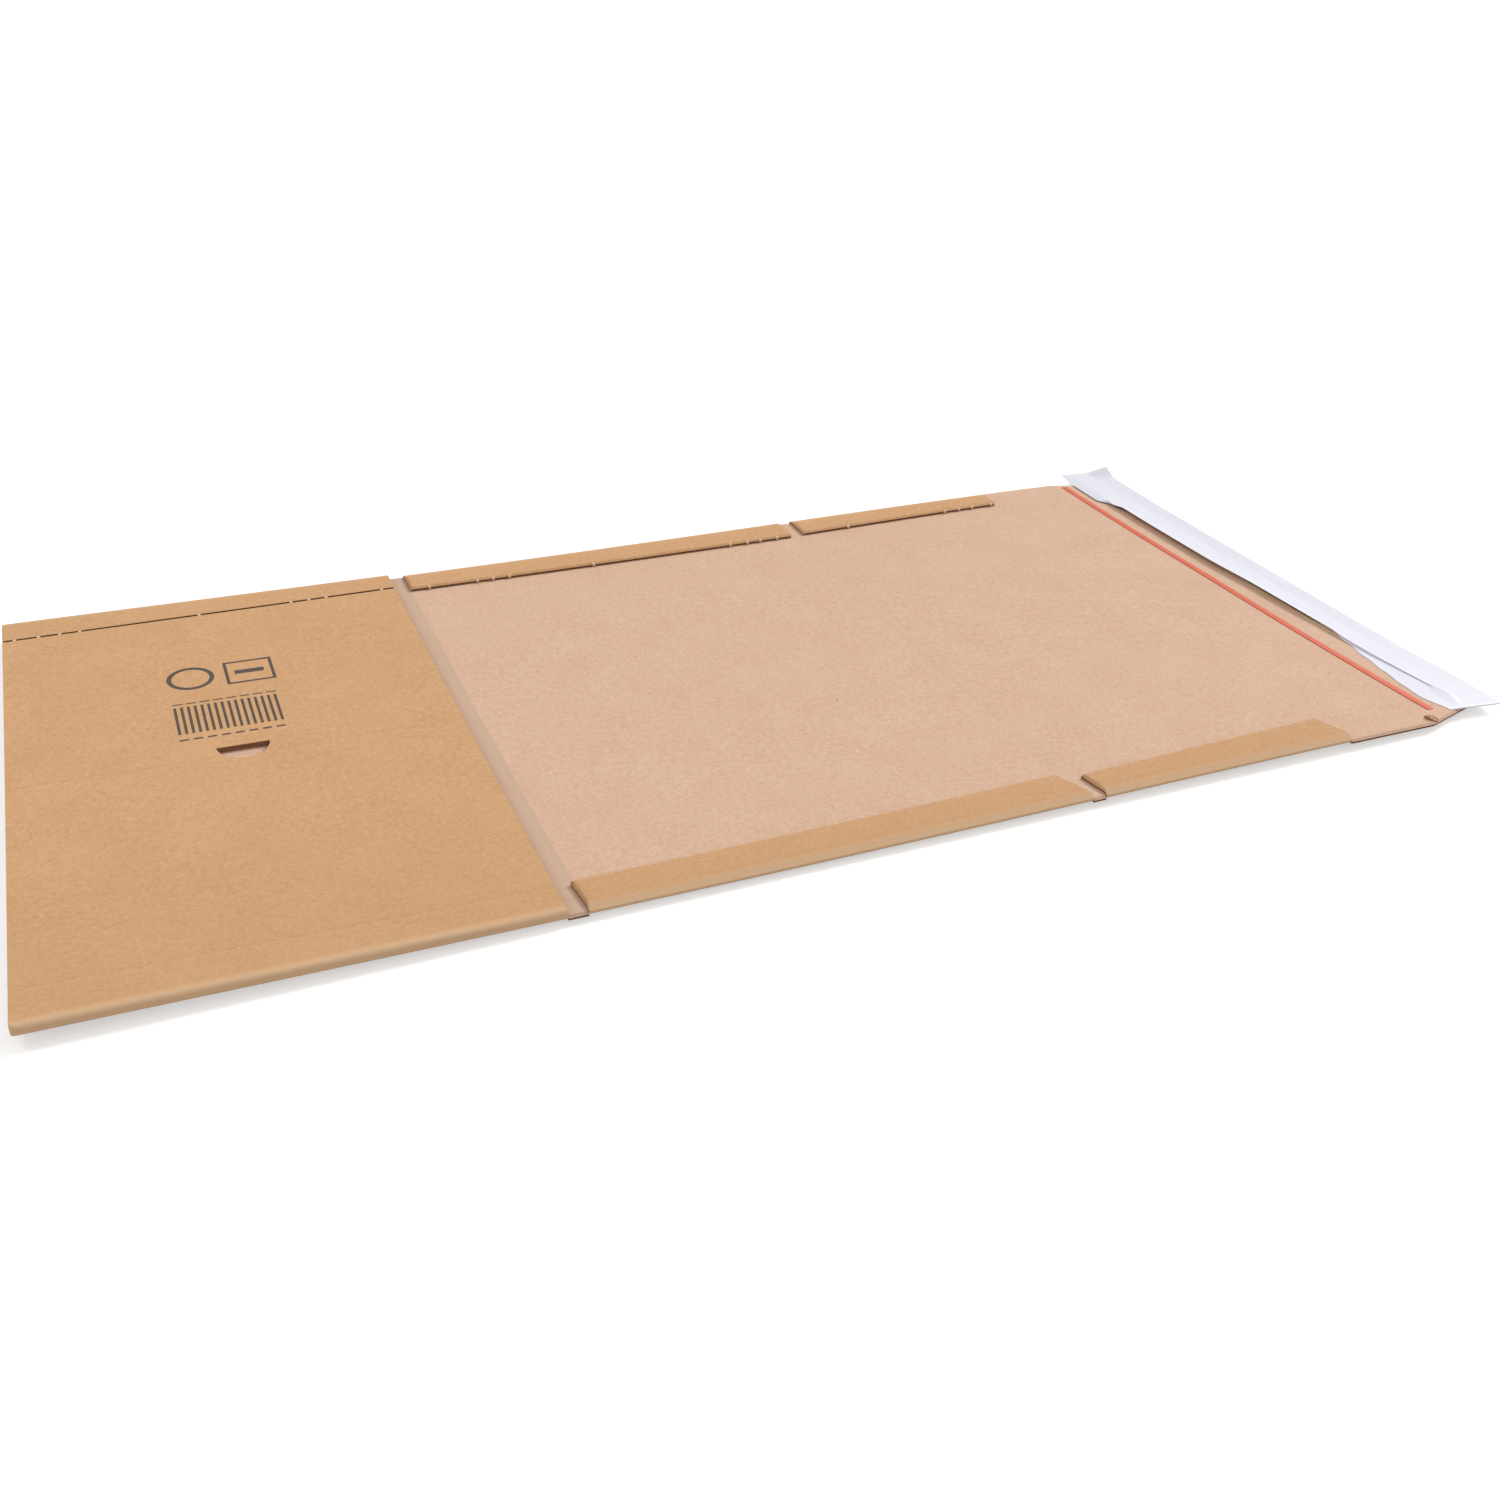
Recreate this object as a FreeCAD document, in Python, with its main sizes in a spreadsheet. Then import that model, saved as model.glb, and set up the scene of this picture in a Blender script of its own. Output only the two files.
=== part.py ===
import FreeCAD, Part
import Sketcher
import math
import os

# Flattened wrap-around book mailer: one folded sheet of corrugated board with a tear strip,
# a line of adhesive on the closing flap and the release liner over it.
# X runs along the sheet to the closing flap, Y from the front edge to the back edge, Z up.
# The flutes of the board run along Y.

doc = FreeCAD.newDocument("FlatMailer")
sheet = doc.addObject("Spreadsheet::Sheet", "Sizes")

SIZES = [
    # Corrugated board: two paper faces and a wavy medium between them
    ("board_thickness", 2.2),
    ("face_paper", 0.3),
    ("medium_paper", 0.25),
    ("flute_pitch", 5.15),
    ("flute_crest", 0.8),
    ("crease_crush", 2.0),
    ("layer_gap", 0.2),
    # Panels along the length, each with its folded edge strips
    ("inner_depth", 304.0),
    ("strip_width", 20.0),
    ("wing_length", 214.6),
    ("book_panel_length", 248.2),
    ("cover_panel_length", 145.6),
    ("notch_width", 9.2),
    ("front_strip_shift", 2.0),
    ("front_start_slant", 1.8),
    ("front_end_slant", 6.6),
    # Closing flap at the right end
    ("flap_length", 102.4),
    ("flap_proud", 1.5),
    ("flap_chamfer_length", 46.2),
    ("flap_chamfer_depth", 13.4),
    # Wing over the first panel: tear line, scores and thumb cut-out
    ("tear_line_gap", 1.0),
    ("nick_width", 1.6),
    ("nick_stub", 0.6),
    ("nick_root", 0.2),
    ("score_width", 0.8),
    ("score_depth", 0.15),
    ("middle_score_offset", 5.0),
    ("cutout_chord", 25.4),
    ("cutout_sagitta", 12.6),
    ("cutout_offset", 4.7),
    # Tear strip beside the liner, and its pressed tab
    ("tear_strip_width", 4.0),
    ("tear_strip_thickness", 0.15),
    ("tear_strip_gap", 8.7),
    ("tear_strip_inset", 11.0),
    ("tear_strip_far_inset", 3.0),
    ("tear_strip_round", 1.2),
    ("tab_radius", 3.4),
    ("tab_offset", 8.2),
    ("tab_inset", 5.6),
    ("tab_press", 0.9),
    ("slit_width", 0.6),
    # Adhesive line and release liner
    ("adhesive_width", 14.0),
    ("adhesive_thickness", 0.15),
    ("adhesive_inset", 16.0),
    ("adhesive_margin", 4.0),
    ("liner_width", 30.0),
    ("liner_thickness", 0.15),
    ("liner_side_overhang", 4.5),
    ("liner_near_inset", 8.0),
    ("liner_far_overhang", 14.0),
    ("liner_flat_run", 90.0),
    ("liner_rise_run", 30.0),
    ("liner_lift", 2.8),
    ("liner_curl", 7.0),
]

for row, (alias, value) in enumerate(SIZES, start=1):
    sheet.set(f"A{row}", alias)
    sheet.set(f"B{row}", str(value))
    sheet.setAlias(f"B{row}", alias)

# Places that follow from the sizes
PLACES = [
    ("fold_radius", "board_thickness + layer_gap / 2"),
    ("upper_bottom", "board_thickness + layer_gap"),
    ("stack_height", "2 * board_thickness + layer_gap"),
    ("sheet_depth", "inner_depth + 2 * strip_width"),
    ("front_fold", "flap_proud"),
    ("back_fold", "front_fold + sheet_depth"),
    ("front_crease", "front_fold + fold_radius"),
    ("back_crease", "back_fold - fold_radius"),
    ("front_free_edge", "front_fold + strip_width"),
    ("back_free_edge", "back_fold - strip_width"),
    ("wing_free_edge", "back_free_edge - tear_line_gap"),
    ("flap_back", "back_fold + flap_proud"),
    ("book_start", "wing_length + notch_width"),
    ("book_end", "book_start + book_panel_length"),
    ("cover_start", "book_end + notch_width"),
    ("cover_end", "cover_start + cover_panel_length"),
    ("flap_end", "cover_end + flap_length"),
    ("chamfer_start", "flap_end - flap_chamfer_length"),
    ("mid_depth", "front_fold + sheet_depth / 2"),
    ("middle_score_place", "mid_depth - middle_score_offset"),
    ("cutout_edge", "mid_depth + cutout_offset"),
    ("cutout_centre", "wing_length / 2"),
    ("cutout_radius", "(cutout_chord * cutout_chord / 4 + cutout_sagitta * cutout_sagitta)"
                      " / (2 * cutout_sagitta)"),
    ("adhesive_right", "flap_end - adhesive_margin"),
    ("adhesive_left", "adhesive_right - adhesive_width"),
    ("liner_right", "flap_end + liner_side_overhang"),
    ("liner_left", "liner_right - liner_width"),
    ("liner_far", "flap_back + liner_far_overhang"),
    ("tear_strip_place", "liner_left - tear_strip_gap - tear_strip_width / 2"),
    ("tab_place", "tear_strip_place - tab_offset"),
]

first_place_row = len(SIZES) + 1
for row, (alias, formula) in enumerate(PLACES, start=first_place_row):
    sheet.set(f"A{row}", alias)
    sheet.set(f"B{row}", "=" + formula)
    sheet.setAlias(f"B{row}", alias)
doc.recompute()

ALIASES = sorted((alias for alias, _ in SIZES + PLACES), key=len, reverse=True)


def size(alias):
    """Value of one cell of the sheet as a plain number."""
    return float(getattr(sheet, alias))


def bound(expression):
    """The expression with every alias written as a reference to the sheet."""
    words = []
    word = ""
    for letter in expression + " ":
        if letter.isalnum() or letter == "_":
            word += letter
            continue
        words.append("Sizes." + word if word in ALIASES else word)
        words.append(letter)
        word = ""
    return "".join(words).strip()


def value_of(owner, expression):
    """Number that an expression over the sheet gives."""
    return float(owner.evalExpression(bound(expression)))


def centred(item):
    """Put the middle of the whole part's outline over the origin."""
    item.setExpression("Placement.Base.x", bound("-liner_right / 2"))
    item.setExpression("Placement.Base.y", bound("-liner_far / 2"))


def new_body(name):
    body = doc.addObject("PartDesign::Body", name)
    body.Label = name
    return body


def new_sketch(body, name, role, offset="0"):
    """Sketch on one origin plane of the body, moved along the plane's normal."""
    sketch = body.newObject("Sketcher::SketchObject", name)
    plane = next(item for item in body.Origin.OriginFeatures if item.Role == role)
    sketch.AttachmentSupport = [(plane, "")]
    sketch.MapMode = "FlatFace"
    if offset != "0":
        sketch.setExpression("AttachmentOffset.Base.z", bound(offset))
    return sketch


def hold(sketch, geometry, point, across, up):
    """Tie one point of the sketch to its two coordinates."""
    for kind, axis, expression in (("DistanceX", -2, across), ("DistanceY", -1, up)):
        if expression == "0":
            sketch.addConstraint(Sketcher.Constraint("PointOnObject", geometry, point, axis))
            continue
        number = value_of(sketch, expression)
        index = sketch.addConstraint(Sketcher.Constraint(kind, -1, 1, geometry, point, number))
        sketch.setExpression(f"Constraints[{index}]", bound(expression))


def polygon(sketch, corners):
    """Closed outline through the corners, each given by two expressions."""
    spots = [FreeCAD.Vector(value_of(sketch, across), value_of(sketch, up), 0) for across, up in corners]
    first = sketch.GeometryCount
    count = len(corners)
    for index in range(count):
        sketch.addGeometry(Part.LineSegment(spots[index], spots[(index + 1) % count]), False)
    for index in range(count):
        following = first + (index + 1) % count
        sketch.addConstraint(Sketcher.Constraint("Coincident", first + index, 2, following, 1))
    for index, (across, up) in enumerate(corners):
        hold(sketch, first + index, 1, across, up)


def rectangle(sketch, left, low, right, high):
    polygon(sketch, [(left, low), (right, low), (right, high), (left, high)])


def pad(body, sketch, name, length):
    feature = body.newObject("PartDesign::Pad", name)
    feature.Profile = sketch
    feature.setExpression("Length", bound(length))
    doc.recompute()
    return feature


def pocket(body, sketch, name, length, backwards=False):
    """Cut along the sketch's normal, checked by the volume that it takes away."""
    before = body.Shape.Volume
    feature = body.newObject("PartDesign::Pocket", name)
    feature.Profile = sketch
    feature.setExpression("Length", bound(length))
    feature.Reversed = backwards
    doc.recompute()
    if body.Shape.Volume > before - 0.01:
        raise RuntimeError(name + " cuts nothing")
    return feature


blank = new_body("folded_board")

# Bottom layer of the whole sheet. At the notches between the panels it ends in a cut edge
# in line with the folds, and past the last panel it is the closing flap.
FRONT_EDGE = [
    ("0", "front_crease"),
    ("wing_length", "front_crease"),
    ("wing_length", "front_fold"),
    ("book_start", "front_fold"),
    ("book_start", "front_crease"),
    ("book_end + front_strip_shift", "front_crease"),
    ("book_end + front_strip_shift", "front_fold"),
    ("cover_start", "front_fold"),
    ("cover_start", "front_crease"),
    ("cover_end + front_strip_shift", "front_crease"),
    ("cover_end + front_strip_shift", "0"),
    ("chamfer_start", "0"),
    ("flap_end", "flap_chamfer_depth"),
]
BACK_EDGE = [
    ("flap_end", "flap_back - flap_chamfer_depth"),
    ("chamfer_start", "flap_back"),
    ("cover_end", "flap_back"),
    ("cover_end", "back_crease"),
    ("cover_start", "back_crease"),
    ("cover_start", "back_fold"),
    ("book_end", "back_fold"),
    ("book_end", "back_crease"),
    ("book_start", "back_crease"),
    ("book_start", "back_fold"),
    ("wing_length", "back_fold"),
    ("wing_length", "back_crease"),
    ("0", "back_crease"),
]
bottom_outline = new_sketch(blank, "bottom_outline", "XY_Plane")
polygon(bottom_outline, FRONT_EDGE + BACK_EDGE)
pad(blank, bottom_outline, "bottom_layer", "board_thickness")


def half_ring(sketch, centre, outer, inner, side):
    """Half ring on one side of the upright line through its centre, between two radii."""
    spot = FreeCAD.Vector(value_of(sketch, centre[0]), value_of(sketch, centre[1]), 0)
    first_angle = math.pi / 2 if side == "left" else -math.pi / 2
    for radius in (outer, inner):
        circle = Part.Circle(spot, FreeCAD.Vector(0, 0, 1), value_of(sketch, radius))
        sketch.addGeometry(Part.ArcOfCircle(circle, first_angle, first_angle + math.pi), False)
    for end_point in (1, 2):
        outer_end = sketch.getPoint(0, end_point)
        inner_end = sketch.getPoint(1, end_point)
        line = sketch.addGeometry(Part.LineSegment(outer_end, inner_end), False)
        sketch.addConstraint(Sketcher.Constraint("Coincident", line, 1, 0, end_point))
        sketch.addConstraint(Sketcher.Constraint("Coincident", line, 2, 1, end_point))
        sketch.addConstraint(Sketcher.Constraint("Vertical", line))
    sketch.addConstraint(Sketcher.Constraint("Coincident", 0, 3, 1, 3))
    sketch.addConstraint(Sketcher.Constraint("Vertical", 0, 3, 0, 1))
    hold(sketch, 0, 3, centre[0], centre[1])
    for arc, radius in ((0, outer), (1, inner)):
        index = sketch.addConstraint(Sketcher.Constraint("Radius", arc, value_of(sketch, radius)))
        sketch.setExpression(f"Constraints[{index}]", bound(radius))


def fold(name, start, end, crease, side):
    """Half ring that carries the board from the bottom layer up into the strip or wing."""
    sketch = new_sketch(blank, name + "_section", "YZ_Plane", start)
    half_ring(sketch, (crease, "fold_radius"), "fold_radius", "layer_gap / 2", side)
    pad(blank, sketch, name, f"{end} - ({start})")


FOLDS = [
    ("wing_fold", "0", "wing_length", "front_crease", "left"),
    ("book_front_fold", "book_start", "book_end + front_strip_shift", "front_crease", "left"),
    ("cover_front_fold", "cover_start", "cover_end + front_strip_shift", "front_crease", "left"),
    ("wing_back_fold", "0", "wing_length", "back_crease", "right"),
    ("book_back_fold", "book_start", "book_end", "back_crease", "right"),
    ("cover_back_fold", "cover_start", "cover_end", "back_crease", "right"),
]
for name, start, end, crease, side in FOLDS:
    fold(name, start, end, crease, side)

# Upper layer: the wing, three strips along the back and two slanted strips along the front
upper_outline = new_sketch(blank, "upper_outline", "XY_Plane", "upper_bottom")
rectangle(upper_outline, "0", "front_crease", "wing_length", "wing_free_edge")
for start, end in (("0", "wing_length"), ("book_start", "book_end"), ("cover_start", "cover_end")):
    rectangle(upper_outline, start, "back_free_edge", end, "back_crease")
for start, end in (("book_start", "book_end"), ("cover_start", "cover_end")):
    polygon(upper_outline, [
        (start, "front_crease"),
        (end + " + front_strip_shift", "front_crease"),
        (end + " + front_strip_shift - front_end_slant", "front_free_edge"),
        (start + " - front_start_slant", "front_free_edge"),
    ])
pad(blank, upper_outline, "upper_layer", "board_thickness")

# Nicks that the cutting rule left whole, each at its share of the panel's length. They still
# hold the wing to its strip, and stand as torn stubs on the other two back strips.
WING_NICKS = (0.028, 0.085, 0.136, 0.184, 0.480, 0.719, 0.767, 0.813, 0.965)
BOOK_NICKS = (0.045, 0.163, 0.202, 0.243, 0.459, 0.828, 0.876, 0.912, 0.960)
COVER_NICKS = (0.225, 0.729, 0.805, 0.876, 0.980)


def nicks(name, start, length, shares, low):
    """Small rectangles of board that reach from the back strip over its cut edge."""
    sketch = new_sketch(blank, name + "_outline", "XY_Plane", "upper_bottom")
    high = "back_free_edge + nick_root"
    for share in shares:
        centre = f"{start} + {share} * {length}"
        rectangle(sketch, centre + " - nick_width / 2", low, centre + " + nick_width / 2", high)
    pad(blank, sketch, name, "board_thickness")


nicks("wing_nicks", "0", "wing_length", WING_NICKS, "wing_free_edge - nick_root")
nicks("book_nicks", "book_start", "book_panel_length", BOOK_NICKS, "back_free_edge - nick_stub")
nicks("cover_nicks", "cover_start", "cover_panel_length", COVER_NICKS, "back_free_edge - nick_stub")


def wing_score(name, place):
    """Shallow straight groove along the whole wing in its top."""
    sketch = new_sketch(blank, name + "_outline", "XY_Plane", "stack_height")
    rectangle(sketch, "0", place + " - score_width / 2", "wing_length", place + " + score_width / 2")
    pocket(blank, sketch, name, "score_depth")


wing_score("wing_edge_score", "front_free_edge")
wing_score("wing_middle_score", "middle_score_place")

# Half-round thumb cut-out through the wing, straight side towards the back
cutout_outline = new_sketch(blank, "cutout_outline", "XY_Plane", "stack_height")
radius = value_of(cutout_outline, "cutout_radius")
half_chord = size("cutout_chord") / 2
centre_drop = radius - size("cutout_sagitta")
centre = FreeCAD.Vector(size("cutout_centre"), size("cutout_edge") + centre_drop, 0)
reach = math.asin(min(1.0, half_chord / radius))
circle = Part.Circle(centre, FreeCAD.Vector(0, 0, 1), radius)
low_angle = 1.5 * math.pi
cutout_outline.addGeometry(Part.ArcOfCircle(circle, low_angle - reach, low_angle + reach), False)
chord_line = Part.LineSegment(cutout_outline.getPoint(0, 2), cutout_outline.getPoint(0, 1))
cutout_outline.addGeometry(chord_line, False)
cutout_outline.addConstraint(Sketcher.Constraint("Coincident", 1, 1, 0, 2))
cutout_outline.addConstraint(Sketcher.Constraint("Coincident", 1, 2, 0, 1))
hold(cutout_outline, 0, 1, "cutout_centre - cutout_chord / 2", "cutout_edge")
hold(cutout_outline, 0, 2, "cutout_centre + cutout_chord / 2", "cutout_edge")
bow = cutout_outline.addConstraint(Sketcher.Constraint("Radius", 0, radius))
cutout_outline.setExpression(f"Constraints[{bow}]", bound("cutout_radius"))
pocket(blank, cutout_outline, "thumb_cutout", "board_thickness + layer_gap / 2")


# Pressed half-round tab that the finger lifts to start the tear strip: a curved slit through
# the flap and a shallow dent beside it
tab_outline = new_sketch(blank, "tab_outline", "XY_Plane", "board_thickness")
tab_centre = FreeCAD.Vector(size("tab_place"), size("tab_inset"), 0)
tab_outline.addGeometry(Part.Circle(tab_centre, FreeCAD.Vector(0, 0, 1), size("tab_radius")), False)
hold(tab_outline, 0, 3, "tab_place", "tab_inset")
tab_size = tab_outline.addConstraint(Sketcher.Constraint("Radius", 0, size("tab_radius")))
tab_outline.setExpression(f"Constraints[{tab_size}]", bound("tab_radius"))
pocket(blank, tab_outline, "tab_dent", "tab_press")

slit_outline = new_sketch(blank, "slit_outline", "XY_Plane", "board_thickness")
half_ring(slit_outline, ("tab_place", "tab_inset"), "tab_radius", "tab_radius - slit_width", "left")
pocket(blank, slit_outline, "tab_slit", "board_thickness")


def flute_channels(start, end, floor_level, mouth, run):
    """Hollows from the mouth, run long along Y: an upright and an inverted one for each pitch."""
    pitch = size("flute_pitch")
    low = floor_level + size("face_paper")
    high = floor_level + size("board_thickness") - size("face_paper")
    medium = size("medium_paper")
    narrow = size("flute_crest") / 2
    wide = (pitch - size("flute_crest")) / 2
    channels = []
    for number in range(int((end - start) / pitch - 0.5)):
        upright = start + (number + 0.5) * pitch
        inverted = upright + pitch / 2
        for centre, bottom, top, low_half, high_half in (
            (upright, low, high - medium, wide, narrow),
            (inverted, low + medium, high, narrow, wide),
        ):
            corners = [
                FreeCAD.Vector(centre - low_half, mouth, bottom),
                FreeCAD.Vector(centre + low_half, mouth, bottom),
                FreeCAD.Vector(centre + high_half, mouth, top),
                FreeCAD.Vector(centre - high_half, mouth, top),
            ]
            section = Part.Face(Part.makePolygon(corners + corners[:1]))
            channels.append(section.extrude(FreeCAD.Vector(0, run, 0)))
    return channels


# Flutes open at every cut edge and end where a fold has crushed them. In the bottom layer,
# at the notches and in the flap, they run right through from front to back.
upper_level = size("upper_bottom")
shift = size("front_strip_shift")
slant = size("front_end_slant")
strip_run = size("strip_width") - size("fold_radius") - size("crease_crush")
wing_run = size("wing_free_edge") - size("front_crease") - size("crease_crush")
through_run = size("flap_back")
wing_end = size("wing_length")
panels = (
    (size("book_start"), size("book_end")),
    (size("cover_start"), size("cover_end")),
)
channels = flute_channels(0, wing_end, upper_level, size("wing_free_edge"), -wing_run)
channels += flute_channels(0, wing_end, upper_level, size("back_free_edge"), strip_run)
for start, end in panels:
    channels += flute_channels(start, end, upper_level, size("back_free_edge"), strip_run)
    channels += flute_channels(start, end + shift - slant, upper_level, size("front_free_edge"), -strip_run)
for start, end in (
    (wing_end, size("book_start")),
    (size("book_end") + shift, size("cover_start")),
    (size("cover_end") + shift, size("flap_end")),
):
    channels += flute_channels(start, end, 0, through_run, -through_run)

# The pressed tab has crushed the flutes under it
crushed = Part.makeCylinder(size("tab_radius"), size("board_thickness"), tab_centre)
flutes = doc.addObject("Part::Feature", "flute_hollows")
flutes.Label = "flute_hollows"
flutes.Shape = Part.makeCompound(channels).cut(crushed)

corrugated = doc.addObject("Part::Cut", "corrugated_blank")
corrugated.Label = "corrugated_blank"
corrugated.Base = blank
corrugated.Tool = flutes
centred(corrugated)

# Red plastic strip along the line where the closing flap tears open
tear_strip = new_body("tear_strip")
strip_outline = new_sketch(tear_strip, "strip_outline", "XY_Plane", "board_thickness")
rectangle(
    strip_outline,
    "tear_strip_place - tear_strip_width / 2",
    "tear_strip_inset",
    "tear_strip_place + tear_strip_width / 2",
    "flap_back - tear_strip_far_inset",
)
strip_pad = pad(tear_strip, strip_outline, "strip_pad", "tear_strip_thickness")
upright_edges = [
    f"Edge{number}"
    for number, edge in enumerate(strip_pad.Shape.Edges, start=1)
    if abs(edge.Length - size("tear_strip_thickness")) < 0.001
]
strip_round = tear_strip.newObject("PartDesign::Fillet", "strip_round")
strip_round.Base = (strip_pad, upright_edges)
strip_round.setExpression("Radius", bound("tear_strip_round"))
centred(tear_strip)

# Hot-melt adhesive line under the liner
adhesive = new_body("adhesive_strip")
adhesive_outline = new_sketch(adhesive, "adhesive_outline", "XY_Plane", "board_thickness")
rectangle(
    adhesive_outline,
    "adhesive_left",
    "adhesive_inset",
    "adhesive_right",
    "flap_back - adhesive_inset",
)
pad(adhesive, adhesive_outline, "adhesive_pad", "adhesive_thickness")
centred(adhesive)


def liner_section(place, left_height, right_height):
    """Thin closed section of the liner across the sheet at one place along Y.

    It is flat over the adhesive. The left margin reaches its height over the board, and the
    right margin its height over the adhesive.
    """
    flat = size("board_thickness") + size("adhesive_thickness")
    spots = [
        (size("liner_left"), size("board_thickness") + left_height),
        (size("adhesive_left"), flat),
        (size("adhesive_right"), flat),
        (size("liner_right"), flat + right_height),
    ]
    thickness = size("liner_thickness")
    lower = [FreeCAD.Vector(across, place, height) for across, height in spots]
    upper = [FreeCAD.Vector(across, place, height + thickness) for across, height in reversed(spots)]
    return Part.makePolygon(lower + upper + lower[:1])


# Release liner: its left margin lies on the board at the near end and stands off it further on,
# and past the far end of the adhesive the right corner curls up
lift = size("liner_lift")
liner_near = size("liner_near_inset")
adhesive_far = size("flap_back") - size("adhesive_inset")
sections = [
    liner_section(liner_near, 0, 0),
    liner_section(liner_near + size("liner_flat_run"), 0, 0),
    liner_section(liner_near + size("liner_flat_run") + size("liner_rise_run"), lift, 0),
    liner_section(adhesive_far, lift, 0),
    liner_section(size("liner_far"), size("adhesive_thickness") + lift / 2, size("liner_curl")),
]
liner = doc.addObject("Part::Feature", "release_liner")
liner.Label = "release_liner"
liner.Shape = Part.makeLoft(sections, True, True)
centred(liner)

doc.recompute()

PIECES = [corrugated, tear_strip, adhesive, liner]
for item in doc.Objects:
    if "Invalid" in item.State or "Error" in item.State:
        raise RuntimeError(item.Label + " did not compute")
os.makedirs("parts", exist_ok=True)
for piece in PIECES:
    if piece.Shape.isNull() or not piece.Shape.isValid():
        raise RuntimeError(piece.Label + " has no valid shape")
    piece.Shape.exportStep(f"parts/{piece.Label}.step")
    print(piece.Label, round(piece.Shape.Volume, 1), len(piece.Shape.Solids), piece.Shape.BoundBox)
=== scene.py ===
"""Flattened wrap-around book mailer, lying open on a pale table.

Every shape is worked out in sheet millimetres: x runs from the left end of the sheet to the
closing flap, y from the front edge of the flap to its back edge, and z up from the table.
The flat shape is then bowed as the real sheet is, and turned into metres in the frame.
"""

import math
from dataclasses import dataclass

import bpy
import numpy as np
from mathutils import Matrix, Vector


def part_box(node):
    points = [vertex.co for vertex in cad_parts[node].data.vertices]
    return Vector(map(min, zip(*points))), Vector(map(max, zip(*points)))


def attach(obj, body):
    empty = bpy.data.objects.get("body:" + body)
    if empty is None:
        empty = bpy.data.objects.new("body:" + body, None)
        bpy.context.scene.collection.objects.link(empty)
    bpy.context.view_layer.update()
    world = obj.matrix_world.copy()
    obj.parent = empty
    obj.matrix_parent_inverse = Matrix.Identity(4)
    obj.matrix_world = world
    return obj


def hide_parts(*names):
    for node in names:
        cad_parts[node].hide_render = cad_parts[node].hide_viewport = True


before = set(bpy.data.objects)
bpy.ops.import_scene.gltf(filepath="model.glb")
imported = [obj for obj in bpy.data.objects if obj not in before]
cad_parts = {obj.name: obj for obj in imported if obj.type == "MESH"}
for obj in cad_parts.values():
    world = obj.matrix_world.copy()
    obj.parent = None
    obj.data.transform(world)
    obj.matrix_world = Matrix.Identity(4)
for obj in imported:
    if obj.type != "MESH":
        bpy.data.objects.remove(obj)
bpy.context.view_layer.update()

# Camera, fitted to the photograph: 1500 pixels wide, with the optical axis left of its middle
IMAGE_WIDTH = 1500
FOCAL_PIXELS = 1449.5
SENSOR_WIDTH = 36
AXIS_PIXEL = 650
CAMERA_PLACE = (-0.29676, -0.62867, 0.37952)
CAMERA_HEADING = 21.72
CAMERA_DIP = 31.88
CAMERA_ROLL = 1.233


def make_camera():
    data = bpy.data.cameras.new("camera")
    data.sensor_width = SENSOR_WIDTH
    data.lens = FOCAL_PIXELS / IMAGE_WIDTH * SENSOR_WIDTH
    data.shift_x = (IMAGE_WIDTH / 2 - AXIS_PIXEL) / IMAGE_WIDTH
    data.clip_start = 0.01
    camera = bpy.data.objects.new("camera", data)
    bpy.context.scene.collection.objects.link(camera)
    heading = Matrix.Rotation(math.radians(-CAMERA_HEADING), 4, "Z")
    dip = Matrix.Rotation(math.radians(90 - CAMERA_DIP), 4, "X")
    roll = Matrix.Rotation(math.radians(CAMERA_ROLL), 4, "Z")
    camera.matrix_world = Matrix.Translation(CAMERA_PLACE) @ heading @ dip @ roll
    bpy.context.scene.camera = camera


make_camera()

# The sheet's length and depth come from the frame, and its low left front corner is x = y = 0
BLANK_LOW, BLANK_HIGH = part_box("corrugated_blank")
FLAP_END = (BLANK_HIGH.x - BLANK_LOW.x) * 1000
FLAP_BACK = (BLANK_HIGH.y - BLANK_LOW.y) * 1000

# Corrugated board: two faces of paper and a wavy medium
BOARD = 2.2
PAPER = 0.3
MEDIUM = 0.25
PITCH = 5.15
TIGHT_GAP = 0.2
WING_GAP = 0.78

# Panels along the sheet
WING_END = 214.6
NOTCH = 9.2
BOOK_START = WING_END + NOTCH
BOOK_END = BOOK_START + 248.2
COVER_START = BOOK_END + NOTCH
COVER_END = COVER_START + 145.6
FRONT_SHIFT = 2.0

# Folds, and the flap that stands proud of them
PROUD = 1.5
FRONT_FOLD = PROUD
BACK_FOLD = FLAP_BACK - PROUD
FRONT_CREASE = FRONT_FOLD + BOARD + TIGHT_GAP / 2
BACK_CREASE = BACK_FOLD - BOARD - TIGHT_GAP / 2
CHAMFER_SLOPE = 0.29
FRONT_CHAMFER = 683.0
BACK_CHAMFER = 684.7

# Grid spacing on the flat of the board
ACROSS = 3.4
ALONG = 5.0

OUTER, INNER, EDGE, HOLLOW, TORN = range(5)

# The knife crushes the board over about its last millimetre
CRUSH_REACH = 0.7
SHEET_CRUSH = 1.2
END_CRUSH = 1.2

# A narrow strip is pressed flat at its fold, over this reach
FOLD_CRUSH = 1.5
FOLD_REACH = 3.0


# How softly the bow runs out where the sheet lies on the table
BOW_SOFTNESS = 0.1


def bow(x, y):
    """Height that the sheet's bow adds, in millimetres fitted to the outline seen.

    A quartic in u and v, the shares of the half length and half depth from the middle. The
    square root turns it smoothly to zero where it would sink below the table.
    """
    u = 2 * x / FLAP_END - 1
    v = 2 * y / FLAP_BACK - 1
    ends = 3.96 * u**2 - 2.48 * u**3 - 2.57 * u**4
    lift = ends + 2.22 * v**2 - 0.29 * u * v - 0.45 * u**2 * v + 1.00 * u * v**2
    return (lift + np.sqrt(lift**2 + BOW_SOFTNESS)) / 2


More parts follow.
